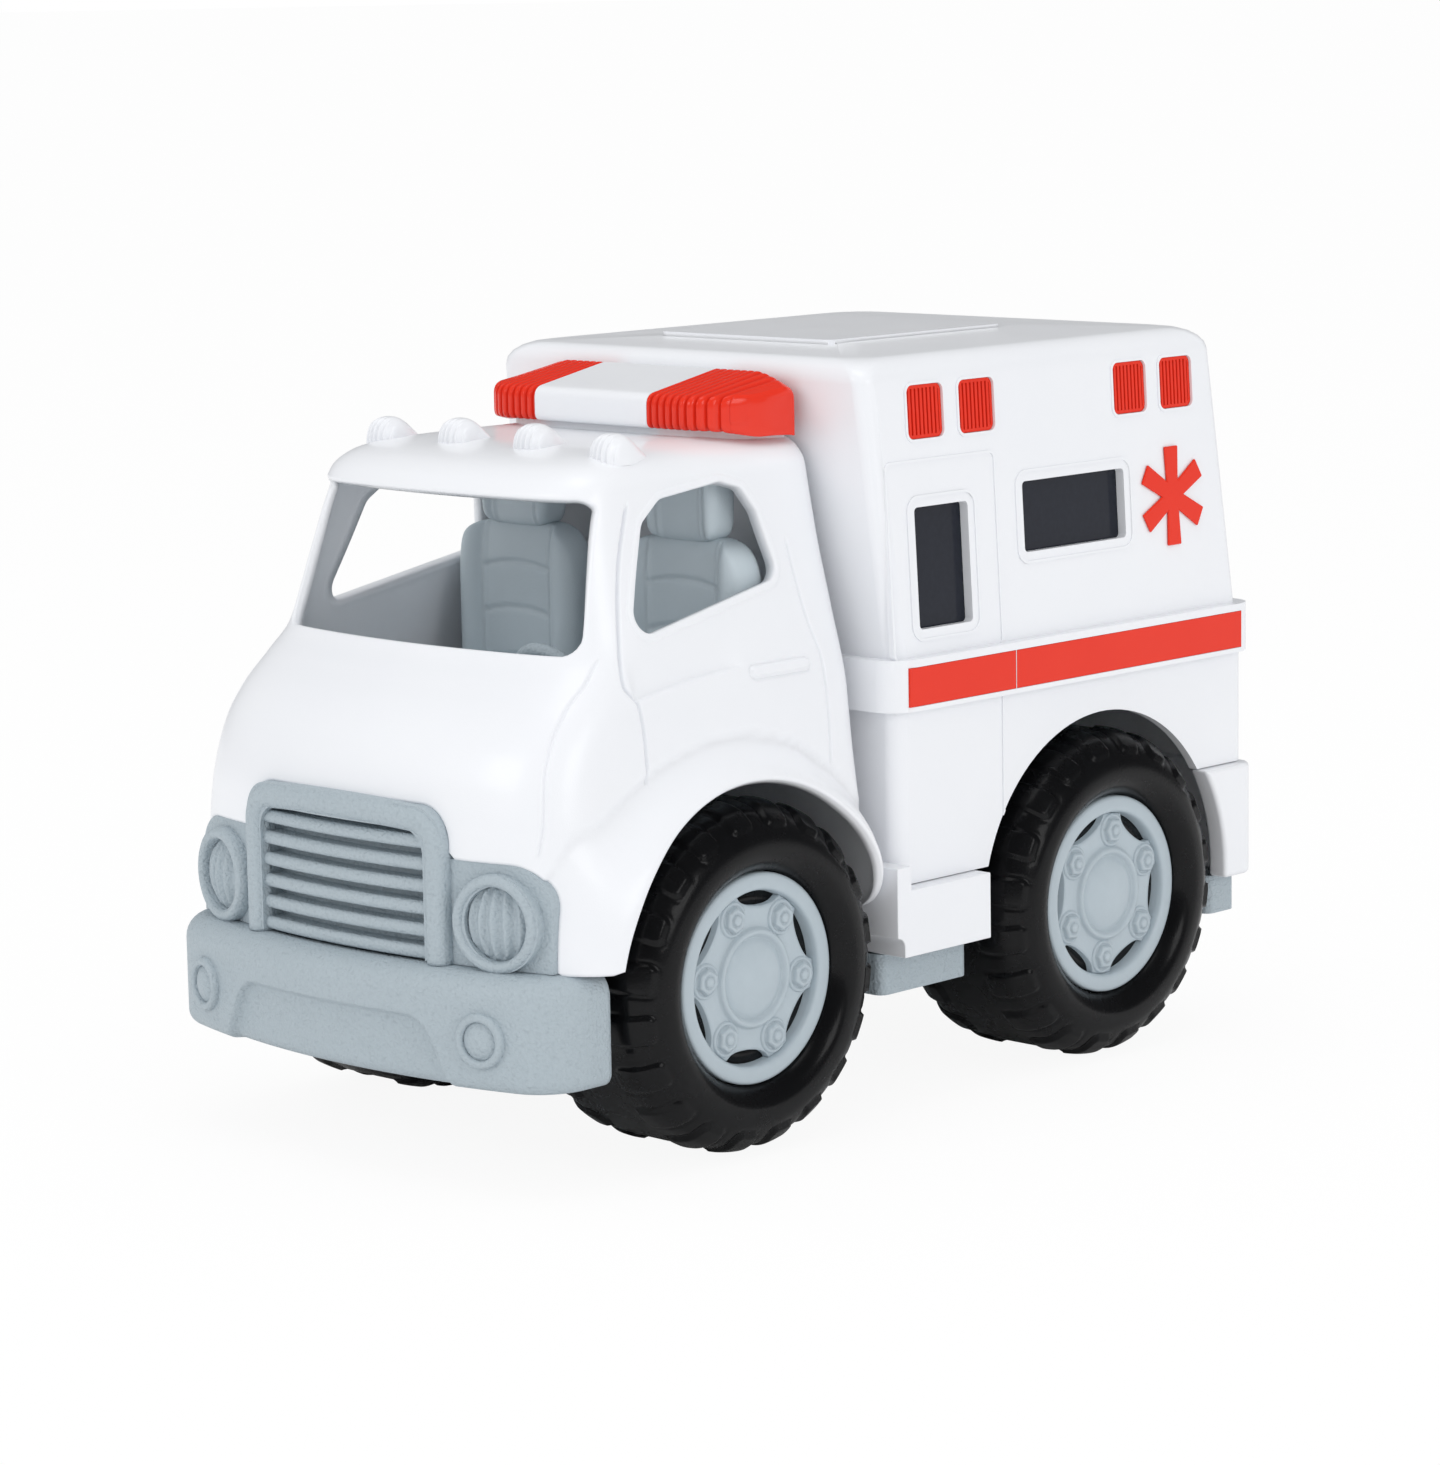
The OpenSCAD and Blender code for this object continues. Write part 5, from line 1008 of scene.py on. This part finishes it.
bendTurn = np.linspace(0, np.pi / 2, bar["bendColumns"])[1:]
lensRun = np.concatenate([np.linspace(bar["mid"] + bar["gap"], bar["bend"], bar["lensColumns"]),
                          bar["bend"] + (bar["half"] - bar["bend"]) * np.sin(bendTurn)])
coverRun = np.linspace(-bar["mid"], bar["mid"], bar["coverColumns"])
joinGrids("bar_cover", [barGrid(coverRun, False), plinthGrid()], "light_bar_cover", bar["sharp"])
joinGrids("bar_lens_left", [barGrid(lensRun, True)], "light_bar_left_lens", bar["sharp"])
joinGrids("bar_lens_right", [barGrid(-lensRun, True)], "light_bar_right_lens", bar["sharp"])
print("light bar done")

floor = dict(half=300.0, white=0.92, pale=(0.94, 0.02), rough=(0.8, 0.1), tint=(6,), sheen=(300,),
             fixed={"Specular IOR Level": 0.0, "Emission Strength": 1.0})
floorMesh = bpy.data.meshes.new("floor")
floorMesh.from_pydata([(x * floor["half"], y * floor["half"], 0) for x, y in ((-1, -1), (1, -1), (1, 1), (-1, 1))],
                      [], [(0, 1, 2, 3)])
floorPiece = bpy.data.objects.new("floor", floorMesh)
scene.collection.objects.link(floorPiece)


def floorRecipe(place, finish):  # part of what the camera sees is plain white, the rest takes the shadow
    seen = Wire(place.tree, place.tree.nodes.new("ShaderNodeLightPath").outputs["Is Camera Ray"])
    (pale, cloudy), (base, more) = finish["pale"], finish["rough"]
    grey = (1 - seen * finish["white"]) * (pale + noise(place, *finish["tint"]) * cloudy)
    return {"Base Color": grey.node("ShaderNodeCombineColor", {0: grey, 1: grey, 2: grey}),
            "Roughness": base + noise(place, *finish["sheen"]) * more,
            "Emission Color": blendColours(seen, (0, 0, 0), (finish["white"],) * 3)}


floorMesh.materials.append(paint("paleFloor", floorRecipe, floor))

skyLight = dict(plain=0.84, seen=0.16, gleam=0.74)  # strength, more of it for the camera, less for reflections
world = bpy.data.worlds.new("studio")
world.use_nodes = True
scene.world = world
sky = world.node_tree
sky.nodes.clear()
rays = Wire(sky, sky.nodes.new("ShaderNodeLightPath").outputs["Is Camera Ray"])
gleam = Wire(sky, rays.socket.node.outputs["Is Glossy Ray"])
strength = skyLight["plain"] + rays * skyLight["seen"] - gleam * skyLight["gleam"]
shine = rays.node("ShaderNodeBackground", {"Color": (1.0, 1.0, 1.0, 1), "Strength": strength})
output = sky.nodes.new("ShaderNodeOutputWorld")
sky.links.new(shine.socket, output.inputs["Surface"])


def softbox(name, place, aim, size, power):  # area lamp turned towards a point
    light = bpy.data.lights.new(name, "AREA")
    light.shape, light.size, light.size_y, light.energy = "RECTANGLE", size[0], size[1], power
    lamp = bpy.data.objects.new(name, light)
    scene.collection.objects.link(lamp)
    lamp.matrix_world = Matrix.Translation(place) @ (
        Vector(aim) - Vector(place)).to_track_quat("-Z", "Y").to_matrix().to_4x4()
    return lamp


softboxes = dict(  # metres and watts
    keyLight=dict(place=(-0.35, -1.7, 0.95), aim=(0, -0.02, 0.1), size=(0.8, 0.65), power=4.4),
    topLight=dict(place=(0.1, -0.3, 1.8), aim=(0, 0.0, 0.1), size=(0.9, 0.9), power=4.0),
    sideLight=dict(place=(1.8, -0.15, 0.75), aim=(0, 0.02, 0.1), size=(0.8, 0.65), power=4.6))
for name, box in softboxes.items():
    softbox(name, **box)

lens = dict(azimuth=44.02, elevation=9.16, roll=-1.01, distance=1.36792, aside=0.00475, above=0.06857,
            height=0.0335, ahead=-0.006, focal=4568.05, rows=1465, sensor=36)  # focal and rows in pixels
az, el, roll = (math.radians(lens[key]) for key in ("azimuth", "elevation", "roll"))
back = Vector((math.sin(az) * math.cos(el), -math.cos(az) * math.cos(el), math.sin(el)))
level = Vector((math.cos(az), math.sin(az), 0))
upright = back.cross(level)
right = level * math.cos(roll) + upright * math.sin(roll)
upward = upright * math.cos(roll) - level * math.sin(roll)
eye = back * lens["distance"] + right * lens["aside"] + upward * lens["above"] + Vector(
    (0, lens["ahead"], lens["height"]))
cameraData = bpy.data.cameras.new("camera")
cameraData.sensor_fit, cameraData.sensor_height = "VERTICAL", lens["sensor"]
cameraData.lens = lens["focal"] * lens["sensor"] / lens["rows"]
camera = bpy.data.objects.new("camera", cameraData)
scene.collection.objects.link(camera)
camera.matrix_world = Matrix((
    (right.x, upward.x, back.x, eye.x), (right.y, upward.y, back.y, eye.y),
    (right.z, upward.z, back.z, eye.z), (0, 0, 0, 1)))
scene.camera = camera
scene.view_settings.view_transform = "Standard"
print("floor, lights and camera set")
